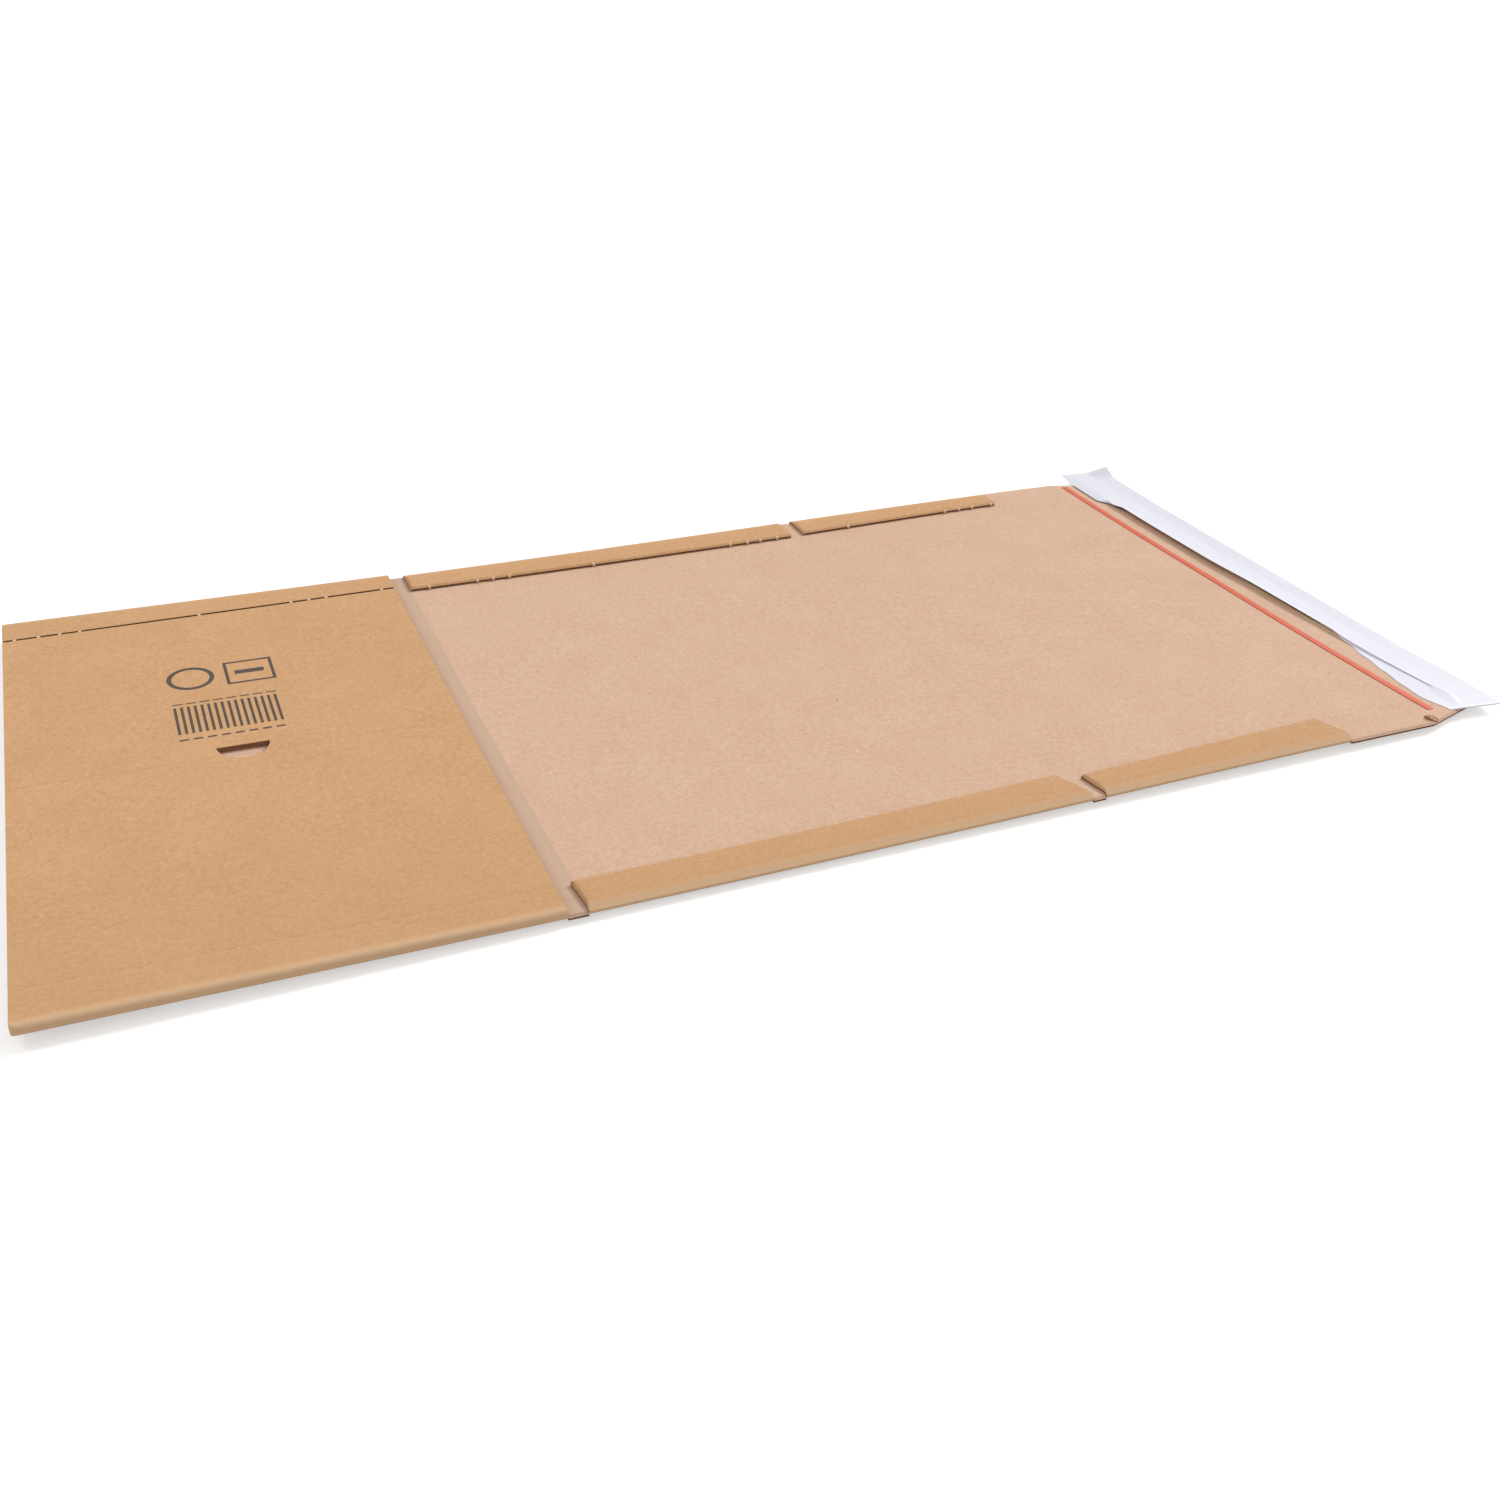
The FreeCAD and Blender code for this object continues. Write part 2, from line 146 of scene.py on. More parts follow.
def settle(points):
    """Sheet millimetres to metres in the frame, with the bow added to z."""
    settled = np.array(points, float)
    settled[..., 2] += bow(settled[..., 0], settled[..., 1])
    settled /= 1000
    settled[..., 0] += BLANK_LOW.x
    settled[..., 1] += BLANK_LOW.y
    return settled


def lerp(a, b, share):
    return a + (b - a) * share


def grid(points, outward, material=0, keep=None):
    """Quads over a grid of points, turned so that the middle one faces the outward direction.

    The normal is the cross product of the step along a row and the step to the next row.
    Quads where keep is false are left out.
    """
    points = np.asarray(points, float)
    rows, columns = points.shape[:2]
    index = np.arange(rows * columns).reshape(rows, columns)
    corners = [index[:-1, :-1], index[:-1, 1:], index[1:, 1:], index[1:, :-1]]
    middle_row = (rows - 1) // 2
    middle = (columns - 1) // 2
    step = points[middle_row, middle + 1] - points[middle_row, middle]
    rise = points[middle_row + 1, middle] - points[middle_row, middle]
    if np.dot(np.cross(step, rise), outward) < 0:
        corners.reverse()
    quads = np.stack(corners, axis=-1)
    quads = quads[keep] if keep is not None else quads.reshape(-1, 4)
    materials = np.full(len(quads), material)
    return points.reshape(-1, 3), quads, materials


def crushed(distance, depth):
    """How far the face sinks at a distance from a cut edge: half of a bell curve."""
    return depth * np.exp(-(distance / CRUSH_REACH) ** 2)


def block(low, high, material):
    """The top and the four sides of an upright box, as five quads."""
    (x0, y0, z0), (x1, y1, z1) = low, high
    faces = [
        ([(x0, y0, z1), (x1, y0, z1)], [(x0, y1, z1), (x1, y1, z1)], (0, 0, 1)),
        ([(x0, y0, z0), (x1, y0, z0)], [(x0, y0, z1), (x1, y0, z1)], (0, -1, 0)),
        ([(x0, y1, z0), (x1, y1, z0)], [(x0, y1, z1), (x1, y1, z1)], (0, 1, 0)),
        ([(x0, y0, z0), (x0, y1, z0)], [(x0, y0, z1), (x0, y1, z1)], (-1, 0, 0)),
        ([(x1, y0, z0), (x1, y1, z0)], [(x1, y0, z1), (x1, y1, z1)], (1, 0, 0)),
    ]
    return [grid([first, second], outward, material) for first, second, outward in faces]


# Edges that turn by more degrees than this stay sharp; the liner's soft creases are let through
SHARP_ANGLE = 35
LINER_SHARP_ANGLE = 80


def build(name, surfaces, materials, replaced, sharp=SHARP_ANGLE):
    """One mesh object from several surfaces, bowed, with shared points merged."""
    offsets = np.cumsum([0] + [len(points) for points, _, _ in surfaces])
    points = settle(np.concatenate([points for points, _, _ in surfaces]))
    quads = np.concatenate([quads + start for (_, quads, _), start in zip(surfaces, offsets)])
    indices = np.concatenate([indices for _, _, indices in surfaces])
    places, merged = np.unique(np.round(points, 7), axis=0, return_inverse=True)
    mesh = bpy.data.meshes.new(name)
    mesh.vertices.add(len(places))
    mesh.vertices.foreach_set("co", places.ravel())
    mesh.loops.add(quads.size)
    mesh.loops.foreach_set("vertex_index", merged.reshape(-1)[quads].ravel())
    mesh.polygons.add(len(quads))
    mesh.polygons.foreach_set("loop_start", np.arange(len(quads)) * 4)
    mesh.polygons.foreach_set("material_index", indices)
    mesh.polygons.foreach_set("use_smooth", np.ones(len(quads), bool))
    mesh.update(calc_edges=True)
    mesh.validate()
    mesh.set_sharp_from_angle(angle=math.radians(sharp))
    for material in materials:
        mesh.materials.append(material)
    piece = bpy.data.objects.new(name, mesh)
    bpy.context.scene.collection.objects.link(piece)
    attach(piece, "root")
    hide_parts(replaced)
    return piece


def linear(code):
    """Linear colour of an sRGB hex value: c / 12.92, or ((c + 0.055) / 1.055) ** 2.4 over 0.04045."""
    parts = [int(code[place:place + 2], 16) / 255 for place in (1, 3, 5)]
    return [c / 12.92 if c <= 0.04045 else ((c + 0.055) / 1.055) ** 2.4 for c in parts] + [1.0]


def add_node(tree, kind, inputs=None, **settings):
    """Add one node with its settings, and give each named input a value or a link."""
    made = tree.nodes.new(kind)
    for name, value in settings.items():
        setattr(made, name, value)
    for name, value in (inputs or {}).items():
        if isinstance(value, bpy.types.NodeSocket):
            tree.links.new(value, made.inputs[name])
        else:
            made.inputs[name].default_value = value
    return made


def new_material(name, roughness):
    """A material, its node tree, its shader and the object's own coordinates in it."""
    material = bpy.data.materials.new(name)
    material.use_nodes = True
    tree = material.node_tree
    shader = tree.nodes["Principled BSDF"]
    shader.inputs["Roughness"].default_value = roughness
    return material, tree, shader, add_node(tree, "ShaderNodeTexCoord").outputs["Object"]


def per_metre(millimetres):
    """Noise scale whose features are about this size."""
    return 1000 / millimetres


def two_tones(tree, shader, place, millimetres, detail, first, second):
    """Let noise of this size carry the base colour from one tone to the other, and return it."""
    noise = add_node(tree, "ShaderNodeTexNoise", {"Vector": place, "Scale": per_metre(millimetres),
                                                  "Detail": detail})
    tone = add_node(tree, "ShaderNodeMix", {0: noise.outputs["Fac"], 6: linear(first), 7: linear(second)},
                    data_type="RGBA")
    tree.links.new(tone.outputs[2], shader.inputs["Base Color"])
    return noise


def smooth_band(tree, coordinate, centre, half_width, softness):
    """1 within half_width of the centre, 0 beyond a soft edge, along one coordinate in metres."""
    offset = add_node(tree, "ShaderNodeMath", {0: coordinate, 1: centre}, operation="SUBTRACT")
    distance = add_node(tree, "ShaderNodeMath", {0: offset.outputs[0]}, operation="ABSOLUTE")
    band = add_node(tree, "ShaderNodeMapRange", {
        "Value": distance.outputs[0], "From Min": half_width - softness, "From Max": half_width + softness,
        "To Min": 1.0, "To Max": 0.0}, interpolation_type="SMOOTHSTEP")
    return band.outputs[0]


def sheet_x(x):
    """Object x in metres of a place in sheet millimetres."""
    return BLANK_LOW.x + x / 1000


def sheet_y(y):
    """Object y in metres of a place in sheet millimetres."""
    return BLANK_LOW.y + y / 1000


def kraft(name, base, dark, pale, washboard, bands):
    """Kraft paper over flutes: matt brown paper with a cloudy mass, short fibres and a few specks.

    The flutes show through as a very faint washboard along x, one wave to each flute pitch.
    Bands are stretches painted another colour: crushed paper, painted highlights, painted shadow and a broad
    darkening. Each gives the axis, centre, half width, softness, colour and share.
    """
    material, tree, shader, place = new_material(name, 0.82)
    shader.inputs["Specular IOR Level"].default_value = 0.25
    parts = add_node(tree, "ShaderNodeSeparateXYZ", {0: place})
    cloud = add_node(tree, "ShaderNodeTexNoise", {"Vector": place, "Scale": per_metre(30), "Detail": 2.0})
    mass = add_node(tree, "ShaderNodeTexNoise", {"Vector": place, "Scale": per_metre(3.5), "Detail": 3.0})
    along = add_node(tree, "ShaderNodeMapping", {"Vector": place, "Scale": (0.6, 1.0, 1.0)})
    grain = add_node(tree, "ShaderNodeTexNoise", {"Vector": along.outputs[0], "Scale": per_metre(1.1),
                                                  "Detail": 3.0})
    blend = add_node(tree, "ShaderNodeMath", {0: cloud.outputs["Fac"], 1: 0.16}, operation="MULTIPLY")
    for noise, weight in ((mass, 0.24), (grain, 0.60)):
        blend = add_node(tree, "ShaderNodeMath", {0: noise.outputs["Fac"], 1: weight, 2: blend.outputs[0]},
                         operation="MULTIPLY_ADD")
    tone = add_node(tree, "ShaderNodeValToRGB", {"Fac": blend.outputs[0]})
    ramp = tone.color_ramp
    ramp.elements[0].position = 0.34
    ramp.elements[0].color = linear(dark)
    ramp.elements[1].position = 0.66
    ramp.elements[1].color = linear(pale)
    ramp.elements.new(0.5).color = linear(base)
    colour = tone.outputs["Color"]

    # Sparse specks of bark and of bleached fibre
    for size, reach, speck_colour in ((11, 0.030, "#8A6A4C"), (17, 0.022, "#EFDCC8")):
        cells = add_node(tree, "ShaderNodeTexVoronoi", {"Vector": place, "Scale": per_metre(size)})
        speck = add_node(tree, "ShaderNodeMath", {0: cells.outputs["Distance"], 1: reach},
                         operation="LESS_THAN")
        colour = add_node(tree, "ShaderNodeMix", {0: speck.outputs[0], 6: colour, 7: linear(speck_colour)},
                          data_type="RGBA").outputs[2]

    for axis, centre, half_width, softness, band_colour, share in bands:
        band = smooth_band(tree, parts.outputs[axis], centre, half_width / 1000, softness / 1000)
        part = add_node(tree, "ShaderNodeMath", {0: band, 1: share}, operation="MULTIPLY")
        colour = add_node(tree, "ShaderNodeMix", {0: part.outputs[0], 6: colour, 7: linear(band_colour)},
                          data_type="RGBA").outputs[2]
    tree.links.new(colour, shader.inputs["Base Color"])

    phase = add_node(tree, "ShaderNodeMath", {0: parts.outputs["X"], 1: 2 * math.pi * 1000 / PITCH},
                     operation="MULTIPLY")
    wave = add_node(tree, "ShaderNodeMath", {0: phase.outputs[0]}, operation="SINE")
    waves = add_node(tree, "ShaderNodeBump", {"Height": wave.outputs[0], "Distance": washboard / 1000,
                                              "Strength": 1.0})
    rough = add_node(tree, "ShaderNodeBump", {"Height": grain.outputs["Fac"], "Distance": 0.00008,
                                              "Strength": 0.15, "Normal": waves.outputs[0]})
    tree.links.new(rough.outputs[0], shader.inputs["Normal"])
    return material


def cut_paper(name, base, dark):
    """Sheared paper edge: darker than the face, with the loose fibres of the cut."""
    material, tree, shader, place = new_material(name, 0.9)
    two_tones(tree, shader, place, 0.9, 3.0, base, dark)
    return material


def tear_film():
    """Red polypropylene tape: smooth and satin, its red a little clouded."""
    material, tree, shader, place = new_material("red_polypropylene_tape", 0.5)
    shader.inputs["Specular IOR Level"].default_value = 0.25
    two_tones(tree, shader, place, 6, 2.0, "#D75D3C", "#E06E4D")
    return material


def release_paper():
    """Siliconised release paper: cool white, with a soft sheen and faint rollers' marks along it."""
    material, tree, shader, place = new_material("siliconised_release_paper", 0.45)
    stretched = add_node(tree, "ShaderNodeMapping", {"Vector": place, "Scale": (6.0, 1.0, 6.0)})
    noise = two_tones(tree, shader, stretched.outputs[0], 30, 4.0, "#DFDEEA", "#E8E8F2")
    bump = add_node(tree, "ShaderNodeBump", {"Height": noise.outputs["Fac"], "Distance": 0.0004,
                                             "Strength": 0.35})
    tree.links.new(bump.outputs[0], shader.inputs["Normal"])
    return material


def hot_melt():
    """Pressure-sensitive hot-melt: clear amber rubber, smooth and wet-looking."""
    material, tree, shader, place = new_material("hot_melt_rubber", 0.15)
    two_tones(tree, shader, place, 4, 2.0, "#D8B98C", "#E3C89E")
    return material


def printing_ink():
    """Flexographic ink on kraft: dark brown-black and matt, a little uneven."""
    material, tree, shader, place = new_material("flexo_ink", 0.7)
    two_tones(tree, shader, place, 1.2, 3.0, "#3E342E", "#5A4A3F")
    return material


@dataclass
class Panel:
    """One stretch of the sheet between two notches, with its edges folded up and over."""
    start: float            # left end of the panel
    end: float              # right end at the back
    front_end: float        # right end at the front
    gap: float              # space between the two layers
    front_lines: list       # y at the left and right end of the free edge and of each score
    front_slants: tuple     # x shift of the free edge's two ends
    back_line: tuple        # y at the left and right end of the back strip's free edge
    crush: tuple            # how far the front and the back free edge are crushed

    @property
    def height(self):
        return 2 * BOARD + self.gap


WING_SCORES = [(23.5, 18.9), (169.9, 168.3)]
WING_FREE = (323.1, 326.6)
WING = Panel(0, WING_END, WING_END, WING_GAP, [WING_FREE] + WING_SCORES[::-1], (0, 0), (324.1, 327.8),
             (0.55, 0.2))
BOOK = Panel(BOOK_START, BOOK_END, BOOK_END + FRONT_SHIFT, TIGHT_GAP, [(22.0, 23.5)], (-1.5, -7.5),
             (324.2, 323.3), (0.3, 1.0))
COVER = Panel(COVER_START, COVER_END, COVER_END + FRONT_SHIFT, TIGHT_GAP, [(19.3, 23.3)], (-2.3, -5.3),
              (324.2, 327.2), (0.3, 1.0))
PANELS = [WING, BOOK, COVER]

# Creases that run from front to back in the inner face: place, depth and half width
BASE_CREASES = [(216.6, 0.16, 0.9), (222.6, 0.12, 0.9), (372.5, 0.05, 0.8), (405.0, 0.04, 0.8),
                (428.8, 0.08, 0.8), (439.0, 0.04, 0.8), (473.0, 0.10, 0.9), (480.0, 0.10, 0.9),
                (628.0, 0.06, 0.9)]
SCORE_DEPTH = 0.25
SCORE_HALF_WIDTH = 0.7

# Places of the grid where the wing's front roll is rounded off at its free end, to this share
CORNER_PLACES = np.array([0, 0.3, 0.8, 1.5, 2.5])
CORNER_ROUNDNESS = 0.35

# Places where a narrow strip's left end is pressed, and of the back strips' rows towards the edge
PRESSED_PLACES = np.array([0, 0.4, 0.9, 1.6])
STRIP_SHARES = np.array([0.25, 0.5, 0.75, 0.90, 0.95, 0.98, 1.0])

# Points round the half circle of a fold
FOLD_POINTS = 15


def stations(start, end, spacing, lines=()):
    """Places from start to end about one spacing apart, with extra ones about each line."""
    count = max(2, round((end - start) / spacing) + 1)
    places = [np.linspace(start, end, count)]
    for line in lines:
        if start + 2 < line < end - 2:
            places[0] = places[0][abs(places[0] - line) > 1.5]
            places.append(line + np.array([-1.3, -0.6, 0, 0.6, 1.3]))
    return np.sort(np.concatenate([np.clip(places[0], start, end)] + places[1:]))


ROWS = stations(FRONT_CREASE, BACK_CREASE, ALONG)
CREASE_PLACES = [place for place, _, _ in BASE_CREASES]


def crease_dip(x):
    """Depth of the front-to-back creases at x: a sum of bell curves."""
    dip = 0
    for place, depth, half_width in BASE_CREASES:
        dip = dip + depth * np.exp(-((x - place) / half_width) ** 2)
    return dip


def score_dip(x, y):
    """Depth of the two scores across the wing, bell curves about slightly slanted lines."""
    dip = 0
    for left, right in WING_SCORES:
        line = lerp(left, right, x / WING_END)
        dip = dip + SCORE_DEPTH * np.exp(-((y - line) / SCORE_HALF_WIDTH) ** 2)
    return dip


def layer_rows(lines, share):
    """y of the rows of an upper layer, from the free edge through each score to the front crease.

    Between two lines the rows are evenly spaced, with two closer ones beside each line.
    """
    rows = []
    bounds = [lerp(left, right, share) for left, right in lines] + [np.full_like(share, FRONT_CREASE)]
    for far, near in zip(bounds, bounds[1:]):
        length = float(np.mean(far - near))
        inner = np.linspace(2.5, length - 2.5, max(2, round((length - 5) / ALONG) + 1))
        shares = np.concatenate([[0, 0.6, 1.3], inner, [length - 1.3, length - 0.6]]) / length
        rows.append(lerp(far[:, None], near[:, None], shares[None, :]))
    return np.concatenate(rows, axis=1)


def panel_surface(panel, outer):
    """Points of a panel's outer or inner face, as a profile carried along x.

    The profile starts at the front free edge, runs down to the front crease, round a half
    circle to the bottom layer, back along it, and round a half circle to the back free edge.
    The upper layer of a narrow strip sinks at its left end and at its fold.
    """
    places = stations(panel.start, panel.end, ACROSS, CREASE_PLACES)
    roundness = 1.0
    if panel is WING:
        places = np.concatenate([CORNER_PLACES, places[1:]])
        inset = 1 - np.clip(places / CORNER_PLACES[-1], 0, 1)
        roundness = lerp(CORNER_ROUNDNESS, 1.0, np.sqrt(1 - inset**2))[:, None]
    else:
        places = np.concatenate([panel.start + PRESSED_PLACES, places[1:]])
    share = (places - panel.start) / (panel.end - panel.start)
    middle = panel.height / 2
    radius = middle if outer else panel.gap / 2
    top = middle + radius
    low = middle - radius
    fold_x = lerp(panel.start, panel.front_end, share)
    free_x = fold_x + lerp(panel.front_slants[0], panel.front_slants[1], share)

    front_y = layer_rows(panel.front_lines, share)
    run = (front_y[:, :1] - front_y) / (front_y[:, :1] - FRONT_CREASE)
    front_x = lerp(free_x[:, None], fold_x[:, None], run)
    front_z = np.full_like(front_y, top)
    if outer and panel is WING:
        front_z = front_z - score_dip(front_x, front_y)
    if outer:
        front_z = front_z - crushed(front_y[:, :1] - front_y, panel.crush[0])
    front = np.stack([front_x, front_y, front_z], axis=-1)

    turn = np.linspace(math.pi / 2, 3 * math.pi / 2, FOLD_POINTS)[None, :-1]
    bulge = FRONT_CREASE + radius * np.cos(turn) * roundness
    front_fold = np.stack(np.broadcast_arrays(fold_x[:, None], bulge, middle + radius * np.sin(turn)),
                          axis=-1)

    depth_share = (ROWS - FRONT_CREASE) / (BACK_CREASE - FRONT_CREASE)
    ends = lerp(panel.front_end, panel.end, depth_share)
    base_x = lerp(panel.start, ends[None, :], share[:, None])
    base_z = np.full_like(base_x, low)
    if not outer:
        base_z = base_z - crease_dip(base_x)
    base = np.stack([base_x, np.broadcast_to(ROWS, base_x.shape), base_z], axis=-1)

    turn = np.linspace(-math.pi / 2, math.pi / 2, FOLD_POINTS)[None, 1:]
    back_x = lerp(panel.start, panel.end, share)
    back_fold = np.stack(np.broadcast_arrays(back_x[:, None], BACK_CREASE + radius * np.cos(turn),
                                             middle + radius * np.sin(turn)), axis=-1)

    free_y = lerp(panel.back_line[0], panel.back_line[1], share)
    back_y = lerp(BACK_CREASE, free_y[:, None], STRIP_SHARES[None, :])
    back_z = np.full_like(back_y, top)
    if outer:
        back_z = back_z - crushed(back_y - free_y[:, None], panel.crush[1])
    back = np.stack([np.broadcast_to(back_x[:, None], back_y.shape), back_y, back_z], axis=-1)
    surface = np.concatenate([front, front_fold, base, back_fold, back], axis=1)
    if outer and panel is not WING:
        upper = np.clip(surface[..., 2] / BOARD - 1, 0, 1)
        from_fold = np.minimum(surface[..., 1] - FRONT_FOLD, BACK_FOLD - surface[..., 1])
        pressed = FOLD_CRUSH * np.exp(-(from_fold / FOLD_REACH) ** 2)
        surface[..., 2] -= upper * np.maximum(pressed, crushed((places - panel.start)[:, None], END_CRUSH))
    first_base = front.shape[1] + front_fold.shape[1]
    return surface, first_base, first_base + len(ROWS)


def cut_wall(face, other_face, inward, depth):
    """Wall between the two faces of the board along a cut, hollow between the two papers.

    Across the wall: the edge of one paper, a step inwards by depth, the step back out, and the
    edge of the other paper.
    """
    inward = np.asarray(inward, float)
    lip = PAPER / BOARD
    near = lerp(face, other_face, lip)
    far = lerp(face, other_face, 1 - lip)
    lips = [grid(np.stack([face, near]), -inward, EDGE), grid(np.stack([far, other_face]), -inward, EDGE)]
    across = np.mean(other_face - face, axis=0)
    hollow = [
        grid(np.stack([near, near + inward * depth]), across, HOLLOW),
        grid(np.stack([near + inward * depth, far + inward * depth]), -inward, HOLLOW),
        grid(np.stack([far + inward * depth, far]), -across, HOLLOW),
    ]
    return lips + hollow


# Points of the medium's wave to one pitch, and how far it stands back from the cut
WAVE_POINTS = 10
WAVE_SET_BACK = 0.15


def medium_wave(left, right, bottom, inward, depth, crush=0.0):
    """The wavy medium at a cut across the flutes: half way up the board, plus a sine of x.

    left and right are the ends of the cut, the ribbon runs inwards by depth, and crush is what
    the board has lost of its thickness at the cut.
    """
    left = np.asarray(left, float)
    right = np.asarray(right, float)
    length = abs(right[0] - left[0])
    count = max(4, round(length / PITCH * WAVE_POINTS))
    share = np.linspace(0, 1, count)
    line = lerp(left[None, :], right[None, :], share[:, None])
    thickness = BOARD - crush
    rise = thickness * (1 - (2 * PAPER + MEDIUM) / BOARD) / 2 * np.sin(2 * math.pi * line[:, 0] / PITCH)
    line[:, 2] = bottom + thickness / 2 + rise
    inward = np.asarray(inward, float)
    near = line + inward * WAVE_SET_BACK
    far = line + inward * depth
    half = np.array([0, 0, MEDIUM / 2 * thickness / BOARD])
    return [
        grid(np.stack([near + half, far + half]), (0, 0, 1), HOLLOW),
        grid(np.stack([near - half, far - half]), (0, 0, -1), HOLLOW),
        grid(np.stack([near - half, near + half]), -inward, EDGE),
    ]


# How deep the hollow between the papers shows at a cut across the flutes and along them
EDGE_DEPTH = 1.2
SIDE_DEPTH = 0.3

# Half-round thumb cut-out in the wing, with the grid's margin about it and its rings
CUTOUT_CENTRE = WING_END / 2
CUTOUT_CHORD = 25.4
CUTOUT_SAGITTA = 12.6
CUTOUT_EDGE = (FRONT_FOLD + BACK_FOLD) / 2 + 4.7
CUTOUT_RADIUS = (CUTOUT_CHORD**2 / 4 + CUTOUT_SAGITTA**2) / (2 * CUTOUT_SAGITTA)
CUTOUT_MIDDLE = CUTOUT_EDGE - 0.4 * CUTOUT_SAGITTA
CUTOUT_DEPTH = 0.6
CUTOUT_MARGIN = 5.0
CUTOUT_RINGS = 5


def cutout_outline(points):
    """Where rays from inside the half round towards the points cross its outline.

    The distance along a ray is the shorter of the one to the chord and the one to the circle,
    and the rays nearest the two corners are turned to meet them.
    """
    centre = np.array([CUTOUT_CENTRE, CUTOUT_MIDDLE])
    circle = np.array([CUTOUT_CENTRE, CUTOUT_EDGE - CUTOUT_SAGITTA + CUTOUT_RADIUS])
    rays = points[:, :2] - centre
    rays /= np.linalg.norm(rays, axis=1)[:, None]
    for side in (-1, 1):
        corner = np.array([CUTOUT_CENTRE + side * CUTOUT_CHORD / 2, CUTOUT_EDGE]) - centre
        corner /= np.linalg.norm(corner)
        rays[np.argmax(rays @ corner)] = corner
    offset = centre - circle
    along = rays @ offset
    to_circle = -along + np.sqrt(along**2 - offset @ offset + CUTOUT_RADIUS**2)
    climb = np.maximum(rays[:, 1], 1e-6)
    to_chord = np.where(rays[:, 1] > 0, (CUTOUT_EDGE - centre[1]) / climb, np.inf)
    return centre + rays * np.minimum(to_circle, to_chord)[:, None]


def cutout_patch(face, other_face, keep):
    """Rings between a rectangle of the wing's grid and the half-round outline, on both faces.

    face and other_face are the upper and lower grids of the wing, and keep is the mask of
    quads, in which the rectangle's are turned off.
    """
    columns = np.flatnonzero(abs(face[:, 0, 0] - CUTOUT_CENTRE) < CUTOUT_CHORD / 2 + CUTOUT_MARGIN)
    middle = face[columns[len(columns) // 2], :, 1]
    nearest = CUTOUT_EDGE - CUTOUT_SAGITTA - CUTOUT_MARGIN
    inside = (middle > nearest) & (middle < CUTOUT_EDGE + CUTOUT_MARGIN)
    rows = np.flatnonzero(inside & (face[0, :, 2] > BOARD))
    first, last = columns[0], columns[-1]
    low, high = rows[0], rows[-1]
    keep[first:last, low:high] = False

    def loop(surface):
        return np.concatenate([surface[first:last, low], surface[last, low:high],
                               surface[last:first:-1, high], surface[first, high:low - 1:-1]])

    border = loop(face)
    hole = cutout_outline(border)
    hole[-1] = hole[0]
    surfaces = []
    rims = []
    for surface, upper in ((face, True), (other_face, False)):
        edge = loop(surface)
        rings = lerp(hole[None], edge[None, :, :2], np.linspace(0, 1, CUTOUT_RINGS)[:, None, None])
        height = np.full(rings.shape[:2], edge[:, 2].max())
        if upper:
            height = WING.height - score_dip(rings[..., 0], rings[..., 1])
        ring_points = np.concatenate([rings, height[..., None]], axis=-1)
        surfaces.append(grid(ring_points, (0, 0, 1 if upper else -1), OUTER if upper else INNER))
        rims.append(ring_points[0])
    away = rims[0] - np.array([CUTOUT_CENTRE, CUTOUT_MIDDLE, WING.height])
    away[:, 2] = 0
    away /= np.linalg.norm(away, axis=1)[:, None]
    steps = np.array([0, PAPER / BOARD, PAPER / BOARD, 1 - PAPER / BOARD, 1 - PAPER / BOARD, 1])
    depths = np.array([0, 0, CUTOUT_DEPTH, CUTOUT_DEPTH, 0, 0])
    wall = lerp(rims[0][None], rims[1][None], steps[:, None, None]) + depths[:, None, None] * away[None]
    for row, material in ((0, EDGE), (1, HOLLOW), (2, HOLLOW), (3, HOLLOW), (4, EDGE)):
        pair = wall[row:row + 2]
        middle_away = away[(len(away) - 1) // 2]
        facing = {1: (0, 0, -1), 3: (0, 0, 1)}.get(row, -middle_away)
        surfaces.append(grid(pair, facing, material))
    chord_left = (CUTOUT_CENTRE - CUTOUT_CHORD / 2, CUTOUT_EDGE, 0)
    chord_right = (CUTOUT_CENTRE + CUTOUT_CHORD / 2, CUTOUT_EDGE, 0)
    surfaces += medium_wave(chord_left, chord_right, WING.height - BOARD, (0, 1, 0), CUTOUT_DEPTH)
    return surfaces


def panel_parts(panel):
    """Both faces of a panel and its cut edges. Its bottom layer joins the next stretch."""
    outer, first, last = panel_surface(panel, True)
    inner, _, _ = panel_surface(panel, False)
    keep = np.ones((outer.shape[0] - 1, outer.shape[1] - 1), bool)
    surfaces = []
    if panel is WING:
        surfaces += cutout_patch(outer, inner, keep)
    surfaces.append(grid(outer, (0, 0, -1), OUTER, keep))
    surfaces.append(grid(inner, (0, 0, 1), INNER, keep))
    surfaces += cut_wall(outer[:, 0], inner[:, 0], (0, -1, 0), EDGE_DEPTH)
    surfaces += cut_wall(outer[:, -1], inner[:, -1], (0, 1, 0), EDGE_DEPTH)
    upper = panel.height - BOARD
    surfaces += medium_wave(outer[0, 0], outer[-1, 0], upper, (0, -1, 0), EDGE_DEPTH, panel.crush[0])
    surfaces += medium_wave(outer[0, -1], outer[-1, -1], upper, (0, 1, 0), EDGE_DEPTH, panel.crush[1])
    front = slice(0, first + 1)
    back = slice(last - 1, None)
    if panel is WING:
        surfaces += cut_wall(outer[0], inner[0], (1, 0, 0), SIDE_DEPTH)
    else:
        surfaces += cut_wall(outer[0, front], inner[0, front], (1, 0, 0), SIDE_DEPTH)
        surfaces += cut_wall(outer[0, back], inner[0, back], (1, 0, 0), SIDE_DEPTH)
    surfaces += cut_wall(outer[-1, front], inner[-1, front], (-1, 0, 0), SIDE_DEPTH)
    surfaces += cut_wall(outer[-1, back], inner[-1, back], (-1, 0, 0), SIDE_DEPTH)
    return surfaces


